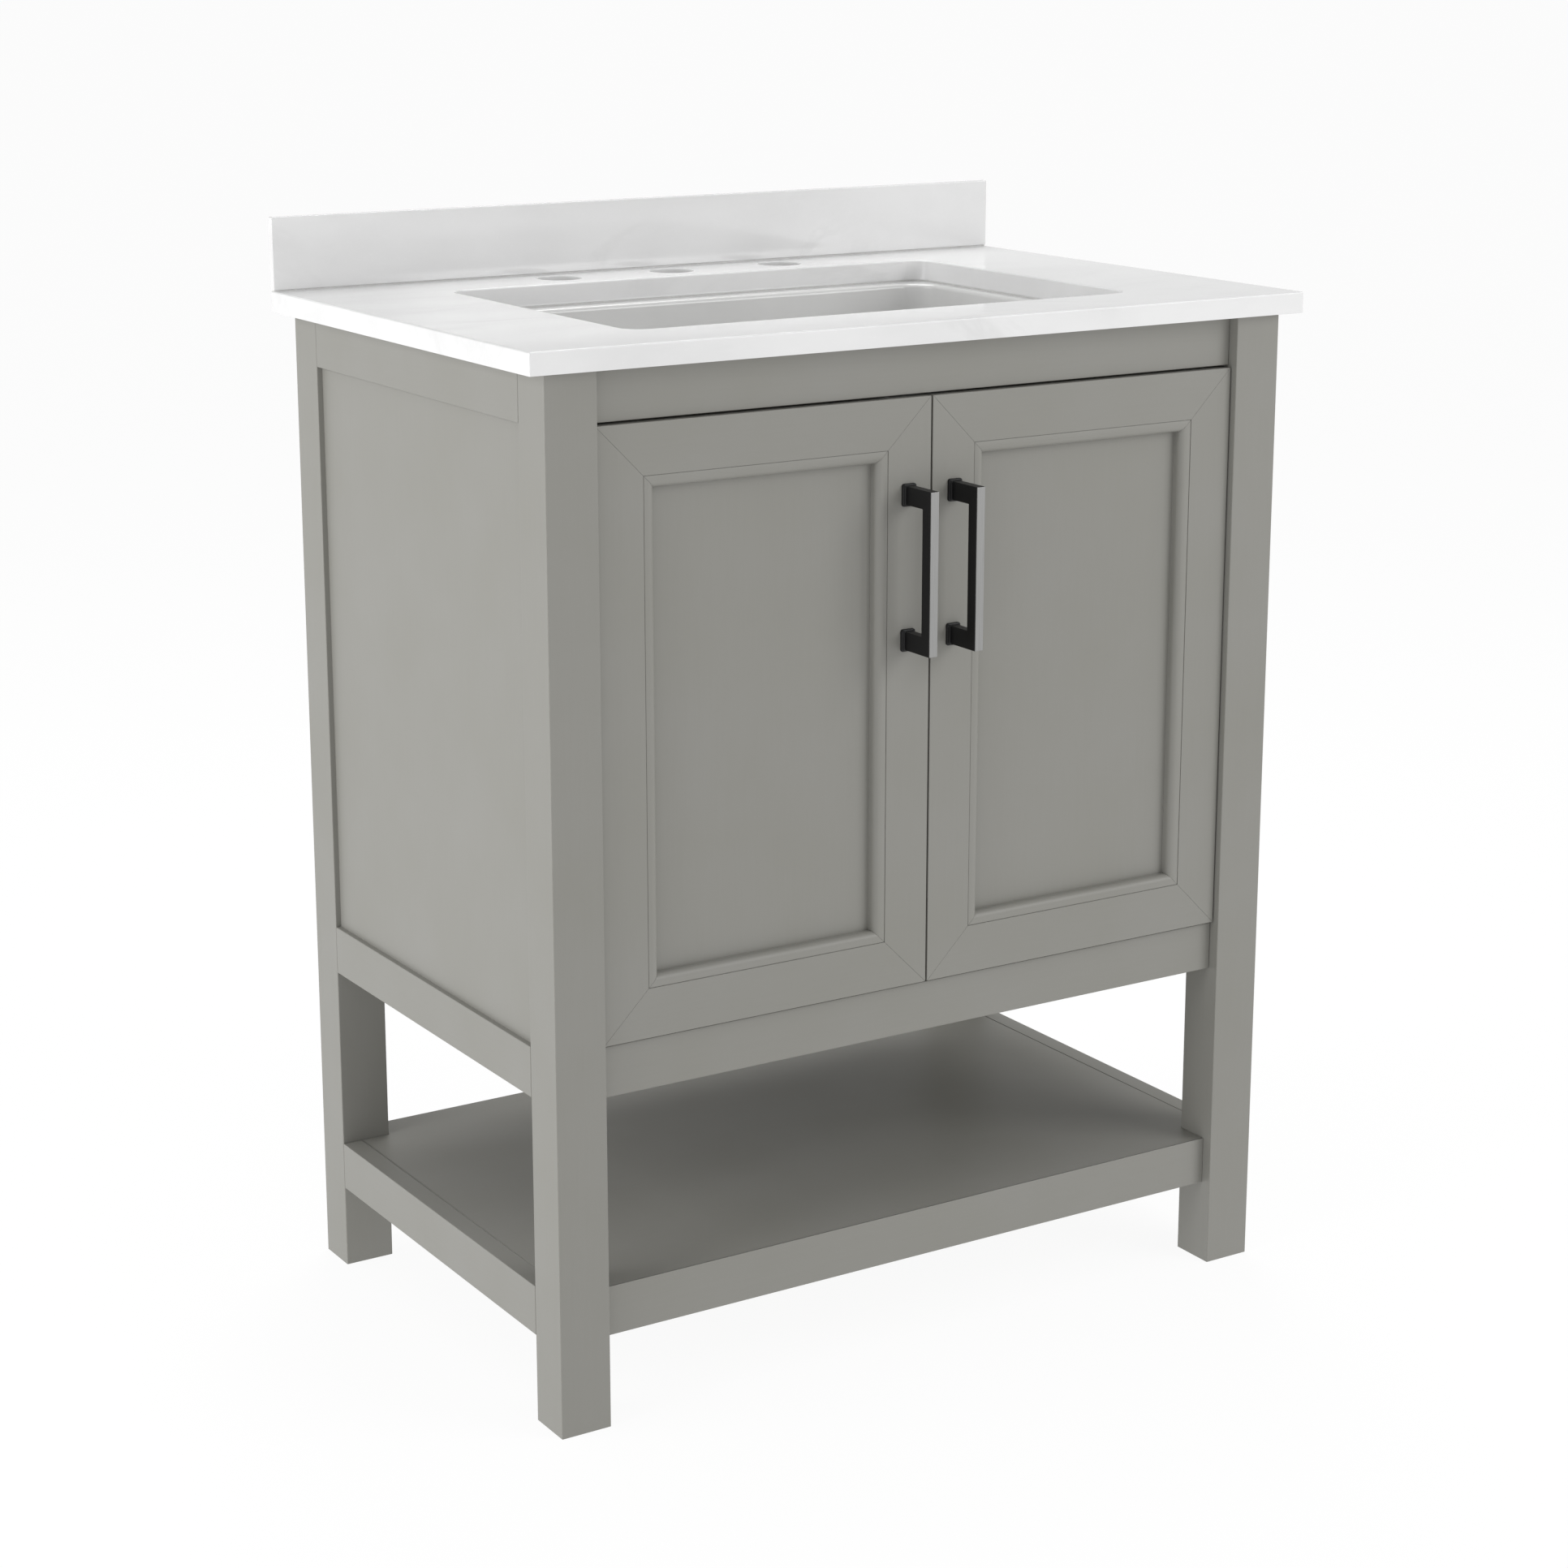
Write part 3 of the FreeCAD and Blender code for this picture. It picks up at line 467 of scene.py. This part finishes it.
def rectangle(low, high, hole=False):
    """The four corners of a rectangle, in the way round that its material or its hole needs."""
    corners = [(low[0], low[1]), (high[0], low[1]), (high[0], high[1]), (low[0], high[1])]
    return corners[::-1] if hole else corners


def drawn(loops, low, high, ease_low, ease_high, axes=(0, 1, 2), steps=4):
    """A solid between two levels with eased rims. A loop's row at angle a of a rim has moved in
    by e (1 - sin a), at e (1 - cos a) from the level. axes says which axis each of the
    outline's two coordinates and the drawn direction take."""
    angle = np.linspace(0, np.pi / 2, steps + 1)
    inset = np.concatenate([ease_low * (1 - np.sin(angle)), ease_high * (1 - np.sin(angle[::-1]))])
    level = np.concatenate([low + ease_low * (1 - np.cos(angle)),
                            high - ease_high * (1 - np.cos(angle[::-1]))])
    points, faces, first_rows, last_rows = [], [], [], []
    count = 0
    for place, normal in loops:
        grid = np.empty((len(level), len(place), 3))
        grid[..., list(axes[:2])] = place - inset[:, None, None] * normal
        grid[..., axes[2]] = level[:, None]
        faces.extend((quads(len(level), len(place), closed=True) + count).tolist())
        numbers = count + np.arange(grid.shape[0] * grid.shape[1]).reshape(grid.shape[:2])
        first_rows.append((grid[0][:, list(axes[:2])], numbers[0]))
        last_rows.append((grid[-1][:, list(axes[:2])], numbers[-1]))
        points.append(grid.reshape(-1, 3))
        count += numbers.size
    for rows in (first_rows, last_rows):
        numbers = np.concatenate([row[1] for row in rows])
        flat = tessellate_polygon([[Vector((*spot, 0)) for spot in row[0].tolist()] for row in rows])
        faces.extend(numbers[np.array(flat)].tolist())
    return np.concatenate(points), faces


print("outline helpers ready")

# %% [markdown]
# ## The shelf board
# The open shelf is one board, notched round the four legs. Its front and back edges lie flush over
# their aprons. The joints are glued, filled and painted over, so no line shows on the front: both
# pieces have sharp edges there. The notches follow the leg boxes, with the hair of room that the
# fitter left.

# %% Shelf board and aprons

FILLED = 0.02
for node in ("shelf_front_rail", "shelf_back_rail"):
    low, high = box_mm(node)
    section = outline(rectangle(low[1:], high[1:]), [BOARD_EASING, BOARD_EASING, FILLED, FILLED])
    points, faces = drawn([section], low[0], high[0], FILLED, FILLED, axes=(1, 2, 0))
    make_piece(node + "_eased", points, faces, LACQUER["x"], "root", [node])

shelf_low, shelf_high = box_mm("shelf_panel")
leg_low, leg_high = box_mm("leg_front_right")
back_leg_low, _ = box_mm("leg_back_right")
FIT, NOTCH_CORNER = 0.3, 0.2
notch_x, notch_front, notch_back = leg_low[0] - FIT, leg_high[1] + FIT, back_leg_low[1] - FIT
right_half = [
    (notch_x, shelf_low[1]), (notch_x, notch_front), (shelf_high[0], notch_front),
    (shelf_high[0], notch_back), (notch_x, notch_back), (notch_x, shelf_high[1]),
]
left_half = [(-x, y) for x, y in reversed(right_half)]
points, faces = drawn([outline(right_half + left_half, NOTCH_CORNER, steps=2)],
                      shelf_low[2], shelf_high[2], FILLED, BOARD_EASING)
make_piece("shelf_panel_eased", points, faces, LACQUER["x"], "root", ["shelf_panel"])

# %% [markdown]
# ## The stone top
# The slab is cut from one sheet. The sink's cut-out has rounded corners, because a router cuts it,
# and three faucet holes are core-drilled behind it. The upper edge is eased and polished, and shows
# as a bright line, so its round is part of the shape.

# %% Stone top and backsplash

SLAB_EASING, SLAB_FOOT_EASING, SLAB_CORNER, BACKSPLASH_EASING = 1.4, 0.5, 1.5, 0.9
CUTOUT_WIDTH, CUTOUT_DEPTH, CUTOUT_FRONT, CUTOUT_CORNER = 500, 324, 77.5, 18
FAUCET_SPACING, FAUCET_RADIUS, FAUCET_FROM_BACK = 117.5, 20, 41

slab_low, slab_high = box_mm("countertop")
cut_front = slab_low[1] + CUTOUT_FRONT
cutout = outline(rectangle((-CUTOUT_WIDTH / 2, cut_front),
                           (CUTOUT_WIDTH / 2, cut_front + CUTOUT_DEPTH), hole=True),
                 CUTOUT_CORNER, steps=12)
faucet_y = slab_high[1] - FAUCET_FROM_BACK
holes = [
    outline(rectangle((x - FAUCET_RADIUS, faucet_y - FAUCET_RADIUS),
                      (x + FAUCET_RADIUS, faucet_y + FAUCET_RADIUS), hole=True),
            FAUCET_RADIUS * 0.9999, steps=16)
    for x in (-FAUCET_SPACING, 0, FAUCET_SPACING)
]
slab_edge = outline(rectangle(slab_low[:2], slab_high[:2]), SLAB_CORNER)
points, faces = drawn([slab_edge, cutout, *holes], slab_low[2], slab_high[2],
                      SLAB_FOOT_EASING, SLAB_EASING)
make_piece("countertop_polished", points, faces, STONE, "root", ["countertop"])

points, faces = eased_board(*box_mm("backsplash"), BACKSPLASH_EASING)
make_piece("backsplash_polished", points, faces, STONE, "root", ["backsplash"])

# %% [markdown]
# ## The pulls
# Each pull is a square bar on two posts, cast in one piece, so it is a C outline drawn out across
# its width. The posts stand on square flanges that step in twice towards the door's face. A flange is
# a stack of rounded squares: each row of the grid has its own size and height.

# %% Pulls

POST_HEIGHT, BAR_DEPTH, STRIP, INNER_ROUND, CASTING_ROUND = 15.6, 12.2, 1.0, 0.5, 0.4
PULL_WIDTH, STRIP_EASING, STRIP_MARGIN, FLANGE_CORNER = 8.2, 0.25, 0.2, 2.0
POST_EASING = 0.1
FLANGE_STEPS = (
    # share of the half size, height off the door in mm
    (1.00, 0.0), (1.00, 1.5), (0.985, 1.95), (0.94, 2.25), (0.885, 2.4),
    (0.87, 2.6), (0.85, 3.4), (0.82, 3.9), (0.74, 4.2), (0.30, 4.2),
)


def flange(centre_x, centre_z, half_width, half_height, door_y):
    """A stack of rounded squares, narrower as it leaves the door, closed by its two end rows."""
    corners = rectangle((-half_width, -half_height), (half_width, half_height))
    loop, _ = outline(corners, FLANGE_CORNER)
    share, height = np.array(FLANGE_STEPS).T
    grid = np.empty((len(share), len(loop), 3))
    grid[..., 0] = centre_x + share[:, None] * loop[:, 0]
    grid[..., 2] = centre_z + share[:, None] * loop[:, 1]
    grid[..., 1] = door_y - height[:, None]
    faces = quads(len(share), len(loop), closed=True).tolist()
    ends = np.arange(len(loop))
    faces += [ends.tolist(), (ends + (len(share) - 1) * len(loop)).tolist()]
    return grid.reshape(-1, 3), faces


def gathered(parts):
    """Several meshes as one list of points and one of faces."""
    points, faces, count = [], [], 0
    for spots, sides in parts:
        points.append(spots)
        faces.extend([[number + count for number in side] for side in sides])
        count += len(spots)
    return np.concatenate(points), faces


for side in ("left", "right"):
    pull_low, pull_high = box_mm("pull_" + side)
    face_low, face_high = box_mm("pull_face_" + side)
    middle = (pull_low[0] + pull_high[0]) / 2
    half_flange = (pull_high[0] - pull_low[0]) / 2
    low_z, high_z = face_low[2] - STRIP_MARGIN, face_high[2] + STRIP_MARGIN
    bar_front = face_low[1] + STRIP
    bar_back = face_low[1] + BAR_DEPTH
    door_y = pull_high[1]
    c_shape = [
        (bar_front, low_z), (door_y, low_z), (door_y, low_z + POST_HEIGHT),
        (bar_back, low_z + POST_HEIGHT), (bar_back, high_z - POST_HEIGHT),
        (door_y, high_z - POST_HEIGHT), (door_y, high_z), (bar_front, high_z),
    ]
    rounds = [CASTING_ROUND, POST_EASING, POST_EASING, INNER_ROUND,
              INNER_ROUND, POST_EASING, POST_EASING, CASTING_ROUND]
    casting = drawn([outline(c_shape, rounds)], middle - PULL_WIDTH / 2, middle + PULL_WIDTH / 2,
                    CASTING_ROUND, CASTING_ROUND, axes=(1, 2, 0))
    half_height = (pull_high[2] - high_z) + POST_HEIGHT / 2
    feet = [flange(middle, z, half_flange, half_height, door_y)
            for z in (low_z + POST_HEIGHT / 2, high_z - POST_HEIGHT / 2)]
    points, faces = gathered([casting, *feet])
    make_piece("pull_%s_casting" % side, points, faces, BLACK, "door_" + side, ["pull_" + side])
    points, faces = eased_board(face_low, face_high, STRIP_EASING)
    make_piece("pull_%s_strip" % side, points, faces, NICKEL, "door_" + side,
               ["pull_face_" + side])

# %% [markdown]
# ## The sink bowl
# An undermount bowl is slip-cast: its walls lean out a little so that it leaves the mould, its
# corners are wide, and its floor falls towards the drain. The surface is a closed stack of rows.
# Rows of the rim and the walls are rounded rectangles, and rows round the drain are circles. Every
# row has the same number of points, so that neighbouring rows join up.

# %% Rows of the sink bowl

DRAFT = math.tan(math.radians(3))
WALL, FLOOR_FALL, INSIDE_FILLET = 10, 1.5, 18
DRAIN_RADIUS, DRAIN_ROUND = 22.5, 3.0
RECESS_RADIUS, RECESS_DEPTH, RECESS_EASING = 32, 2, 0.8
BOWL_WIDTH, BOWL_DEPTH, BOWL_CORNER, BOWL_HEIGHT = 475, 290, 26, 140
RIM_FRONT, RIM_THICKNESS, RIM_CORNER, RIM_ROUND = 30, 12, 30, 4.0
CORNER_STEPS, SIDE_CELLS = 10, 11

sink_low, sink_high = box_mm("sink_bowl")
bowl_y = sink_low[1] + RIM_FRONT + BOWL_DEPTH / 2
rim_y = (sink_low[1] + sink_high[1]) / 2
rim_z = sink_high[2]
floor_z = rim_z - BOWL_HEIGHT
SIDE_OUTWARDS = np.array([(0, -1), (1, 0), (0, 1), (-1, 0)])[:, None, :]
SIDE_ALONG = np.array([(1, 0), (0, 1), (-1, 0), (0, -1)])[:, None, :]


def bowl_row(grow, corner, z, width=BOWL_WIDTH, depth=BOWL_DEPTH, centre_y=bowl_y):
    """One rounded rectangle of the stack, larger than the bowl's opening by grow on every side.
    A side's points lie where rays at equal angles from the middle meet it, at far tan(angle)."""
    half = np.array([width / 2 + grow, depth / 2 + grow])
    arcs, _ = outline(rectangle(-half, half), corner, steps=CORNER_STEPS)
    far = half[[1, 0, 1, 0], None]
    end = np.arctan((half[[0, 1, 0, 1], None] - corner) / far)
    along = far * np.tan(end * np.linspace(-1, 1, SIDE_CELLS + 1)[1:-1])
    sides = far[..., None] * SIDE_OUTWARDS + along[..., None] * SIDE_ALONG
    loop = np.concatenate([arcs.reshape(4, -1, 2), sides], axis=1).reshape(-1, 2)
    return np.column_stack([loop[:, 0], loop[:, 1] + centre_y, np.full(len(loop), z)])


def fillet_rows(grow, corner, z, radius, start, end, count=7):
    """Rows round a quarter circle of the wall's section, with its centre inside the bowl."""
    angle = np.radians(np.linspace(start, end, count))
    return [bowl_row(grow - radius + radius * math.cos(a), corner, z + radius * math.sin(a))
            for a in angle.tolist()]


def drain_ring(row, radius, z):
    """A circle round the drain whose points have the same bearings as a row's."""
    bearing = np.arctan2(row[:, 1] - bowl_y, row[:, 0])
    return np.column_stack([radius * np.cos(bearing), bowl_y + radius * np.sin(bearing),
                            np.full(len(row), z)])


def rows_between(row, ring, shares):
    """Rows on straight lines from a row's points to a ring's."""
    return [row * (1 - share) + ring * share for share in shares]


print("a row has", len(bowl_row(0, BOWL_CORNER, rim_z)), "points")

# %% [markdown]
# ## Stacking the rows
# The rows follow the path that a finger would take: from the rim's underside over the rim, down the
# inside wall and its fillet, across the floor, into the drain's recess and throat, and back up the
# outside. The last row is the first one again, so the surface closes on itself.

# %% Stack the rows

rim_box = {"width": sink_high[0] - sink_low[0], "depth": sink_high[1] - sink_low[1], "centre_y": rim_y}
under_z = rim_z - RIM_THICKNESS
wall_foot = floor_z + INSIDE_FILLET
shrink = (rim_z - wall_foot) * DRAFT
drain_z = floor_z - FLOOR_FALL
outside_z = sink_low[2]
outer = WALL - shrink

rows = [bowl_row(grow, RIM_CORNER, z, **rim_box) for grow, z in (
    (-1.0, under_z), (0, under_z + 1.0), (0, rim_z - 2), (-0.6, rim_z - 0.6), (-2, rim_z))]
rows += [bowl_row(RIM_ROUND * (1 - math.sin(a)), BOWL_CORNER, rim_z - RIM_ROUND * (1 - math.cos(a)))
         for a in np.linspace(0, np.pi / 2, 6).tolist()]
inner_wall = len(rows) - 1
rows += fillet_rows(-shrink, BOWL_CORNER, wall_foot, INSIDE_FILLET, 0, -90)
floor_row = rows[-1]
recess_edge = drain_ring(floor_row, RECESS_RADIUS + RECESS_EASING, drain_z)
rows += rows_between(floor_row, recess_edge, (0.3, 0.6, 0.85, 1))
rows += [drain_ring(floor_row, RECESS_RADIUS + rim, drain_z - drop) for rim, drop in (
    (0.2, 0.2), (0, 0.8), (-0.2, RECESS_DEPTH - 0.2), (-RECESS_EASING, RECESS_DEPTH))]
rows += [drain_ring(floor_row, DRAIN_RADIUS + DRAIN_ROUND * (1 - math.sin(a)),
                    drain_z - RECESS_DEPTH - DRAIN_ROUND * (1 - math.cos(a)))
         for a in np.linspace(0, np.pi / 2, 5).tolist()]
throat = drain_ring(floor_row, DRAIN_RADIUS, outside_z)
rows += rows_between(throat, bowl_row(outer - INSIDE_FILLET, BOWL_CORNER, outside_z), (0, 0.3, 0.65))
rows += fillet_rows(outer, BOWL_CORNER + WALL, outside_z + INSIDE_FILLET, INSIDE_FILLET, -90, 0)
outer_wall = len(rows) - 1
rows += [bowl_row(WALL - 0.5, BOWL_CORNER + WALL, under_z), rows[0]]
grid = np.stack(rows)
print("bowl grid", grid.shape)

# %% [markdown]
# ## The overflow hole
# A round hole under the front rim lets water out before the bowl can spill. The middle of the front
# wall is one tall quad, inside and outside. Each is taken out and filled again round a circle, and a
# short tube with glazed, rounded lips joins the two circles.

# %% Overflow hole and bowl mesh

OVERFLOW_RADIUS, OVERFLOW_DROP, OVERFLOW_LIP, OVERFLOW_POINTS = 7, 38, 1.5, 32
overflow_z = rim_z - OVERFLOW_DROP
around = np.linspace(0, 2 * np.pi, OVERFLOW_POINTS, endpoint=False)
columns = grid.shape[1]
front_start = CORNER_STEPS + SIDE_CELLS // 2
front_end = front_start + 1
points, faces = grid.reshape(-1, 3), quads(len(rows), columns, closed=True)


def wall_y(row, z):
    """Y of the flat front wall between a row and the next, in a straight line with height."""
    (_, top_y, top_z), (_, foot_y, foot_z) = grid[row, front_start], grid[row + 1, front_start]
    return top_y + (foot_y - top_y) * (z - top_z) / (foot_z - top_z)


def overflow_ring(radius, row, depth):
    """A circle of the hole, at a depth behind a wall's own face (outwards is negative Y)."""
    x, z = radius * np.cos(around), overflow_z + radius * np.sin(around)
    return np.column_stack([x, wall_y(row, z) - depth, z])


lip = np.linspace(0, np.pi / 2, 4)
rings = [overflow_ring(OVERFLOW_RADIUS + OVERFLOW_LIP * (1 - math.sin(a)), inner_wall,
                       OVERFLOW_LIP * (1 - math.cos(a))) for a in lip.tolist()]
rings += [overflow_ring(OVERFLOW_RADIUS + OVERFLOW_LIP * (1 - math.sin(a)), outer_wall,
                        -OVERFLOW_LIP * (1 - math.cos(a))) for a in lip[::-1].tolist()]
tube = quads(len(rings), OVERFLOW_POINTS, closed=True) + len(points)
sheets, gone = [], []
for wall, first_ring in ((inner_wall, 0), (outer_wall, len(rings) - 1)):
    frame_corners = np.array([wall * columns + front_start, wall * columns + front_end,
                              (wall + 1) * columns + front_end, (wall + 1) * columns + front_start])
    circle = len(points) + first_ring * OVERFLOW_POINTS + np.arange(OVERFLOW_POINTS)
    flat = tessellate_polygon([
        [Vector((x, z, 0)) for x, _, z in points[frame_corners].tolist()],
        [Vector((x, z, 0)) for x, _, z in rings[first_ring].tolist()],
    ])
    sheets += np.concatenate([frame_corners, circle])[np.array(flat)].tolist()
    gone.append(set(frame_corners.tolist()))
kept = [face for face in faces.tolist() if set(face) not in gone]
make_piece("sink_bowl_glazed", np.concatenate([points, *rings]), kept + tube.tolist() + sheets,
           CHINA, "root", ["sink_bowl"])

# %% [markdown]
# ## The sink's bead of sealant
# The bowl is glued up against the stone with silicone, and the squeezed-out bead is tooled flush
# with the cut-out. It is a flat ring, whose hole is the cut-out's own outline moved out by a hair.

# %% Bead under the stone

BEAD_BACK, BEAD_EASING = 0.3, 0.1
bead_low, bead_high = box_mm("sink_seal")
bead_edge = outline(rectangle(bead_low[:2], bead_high[:2]), CUTOUT_CORNER, steps=12)
bead_hole = outline(rectangle((-CUTOUT_WIDTH / 2 - BEAD_BACK, cut_front - BEAD_BACK),
                              (CUTOUT_WIDTH / 2 + BEAD_BACK, cut_front + CUTOUT_DEPTH + BEAD_BACK),
                              hole=True), CUTOUT_CORNER, steps=12)
points, faces = drawn([bead_edge, bead_hole], bead_low[2], bead_high[2],
                      BEAD_EASING, BEAD_EASING)
make_piece("sink_seal_bead", points, faces, SILICONE, "root", ["sink_seal"])

# %% [markdown]
# ## What stays as it was packed
# Legs, door frames and panels, hinges, screws and the catch have their real shape already, because
# their pockets and grooves were cut in the design. They only get their finish. The grain of the
# lacquer runs along each board, so the axis is chosen from its longest side.

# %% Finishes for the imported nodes

FINISH_OF_SLOT = {
    "pull": BLACK, "pull_face": NICKEL, "hinges": STEEL, "screws": ZINC, "fittings": ZINC,
    "sealant": SILICONE, "stone_top": STONE, "stone_backsplash": STONE, "sink": CHINA,
}
slot_of = {part["node"]: part["material_slot"] for part in frame["record"]["subparts"]}
for name, thing in frame["nodes"].items():
    low, high = box_mm(name)
    longest = "xyz"[int(np.argmax(high - low))]
    finish = FINISH_OF_SLOT.get(slot_of[name], LACQUER[longest])
    thing.data.materials.clear()
    thing.data.materials.append(finish)
print("finished", len(frame["nodes"]), "packed nodes")

# %% [markdown]
# ## Floor and light
# The studio is white. A wide pale floor fills the view. It is lit from below as well as from above,
# like a light table, so that the shadows on it are very faint. The sky is bright at the horizon and
# overhead, and darker between, which leaves the open shelf in soft shade. One large panel on the
# left makes that side the brighter one, and a second at the right lifts the upper front. A smaller
# one, above and behind, shines down on the stone and on the sink's ledge.

# %% Floor, sky and light

FLOOR_REACH, FLOOR_SIDES = 60.0, 96
turn = np.linspace(0, 2 * np.pi, FLOOR_SIDES, endpoint=False)
disc = FLOOR_REACH * np.column_stack([np.cos(turn), np.sin(turn), np.zeros(FLOOR_SIDES)])
floor_mesh = bpy.data.meshes.new("studio_floor")
floor_mesh.from_pydata(disc.tolist(), [], [list(range(FLOOR_SIDES))])
floor = bpy.data.objects.new("studio_floor", floor_mesh)
bpy.context.scene.collection.objects.link(floor)

paper, paper_tree, paper_shader = new_finish("white_light_table")
paper_tone = grain(paper_tree, place_pattern(paper_tree), 400)
paper_tree.links.new(blend(paper_tree, paper_tone, linear("525252"), linear("505050")),
                     paper_shader.inputs["Base Color"])
paper_shader.inputs["Roughness"].default_value = 0.9
paper_shader.inputs["Specular IOR Level"].default_value = 0.0
paper_shader.inputs["Emission Color"].default_value = (1, 1, 1, 1)
paper_shader.inputs["Emission Strength"].default_value = 0.92
floor_mesh.materials.append(paper)
floor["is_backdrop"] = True

sky = bpy.data.worlds.new("white_studio")
sky.use_nodes = True
sky_tree = sky.node_tree
towards = add(sky_tree, "ShaderNodeTexCoord")
height = add(sky_tree, "ShaderNodeSeparateXYZ", {"Vector": towards.outputs["Object"]}).outputs["Z"]
falling = ramp(sky_tree, height, 0.05, 0.20, 1.0, 0.30)
rising = ramp(sky_tree, height, 0.50, 0.85, 0.0, 0.50)
strength = add(sky_tree, "ShaderNodeMath", {0: falling, 1: rising}, operation="ADD").outputs[0]
sky_tree.links.new(strength, sky_tree.nodes["Background"].inputs["Strength"])
sky_tree.nodes["Background"].inputs["Color"].default_value = (1, 1, 1, 1)
bpy.context.scene.world = sky


def soft_panel(name, place, aim, width, height, watts):
    """A rectangular soft light that faces a point."""
    light = bpy.data.objects.new(name, bpy.data.lights.new(name, "AREA"))
    light.data.shape = "RECTANGLE"
    light.data.size, light.data.size_y = width, height
    light.data.energy = watts
    light.location = place
    light.rotation_euler = (Vector(aim) - Vector(place)).to_track_quat("-Z", "Y").to_euler()
    bpy.context.scene.collection.objects.link(light)


soft_panel("left_panel", (-3.2, 0.1, 1.4), (0, 0, 0.5), 2.6, 2.4, 64)
soft_panel("right_panel", (2.2, -2.8, 2.2), (0.2, -0.2, 0.7), 2.0, 2.0, 55)
soft_panel("top_panel", (0.7, 1.3, 3.0), (0, 0, 0.9), 1.2, 1.2, 27)
bpy.context.scene.view_settings.view_transform = "Standard"
bpy.context.scene.view_settings.look = "None"
print("studio ready")

# %% [markdown]
# ## The size
# The looks must fill the same box as the design, so the box of the looks is written down.

# %% Measure the looks

low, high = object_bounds()
print("visual box in mm:", [round(side / MM, 1) for side in high - low])
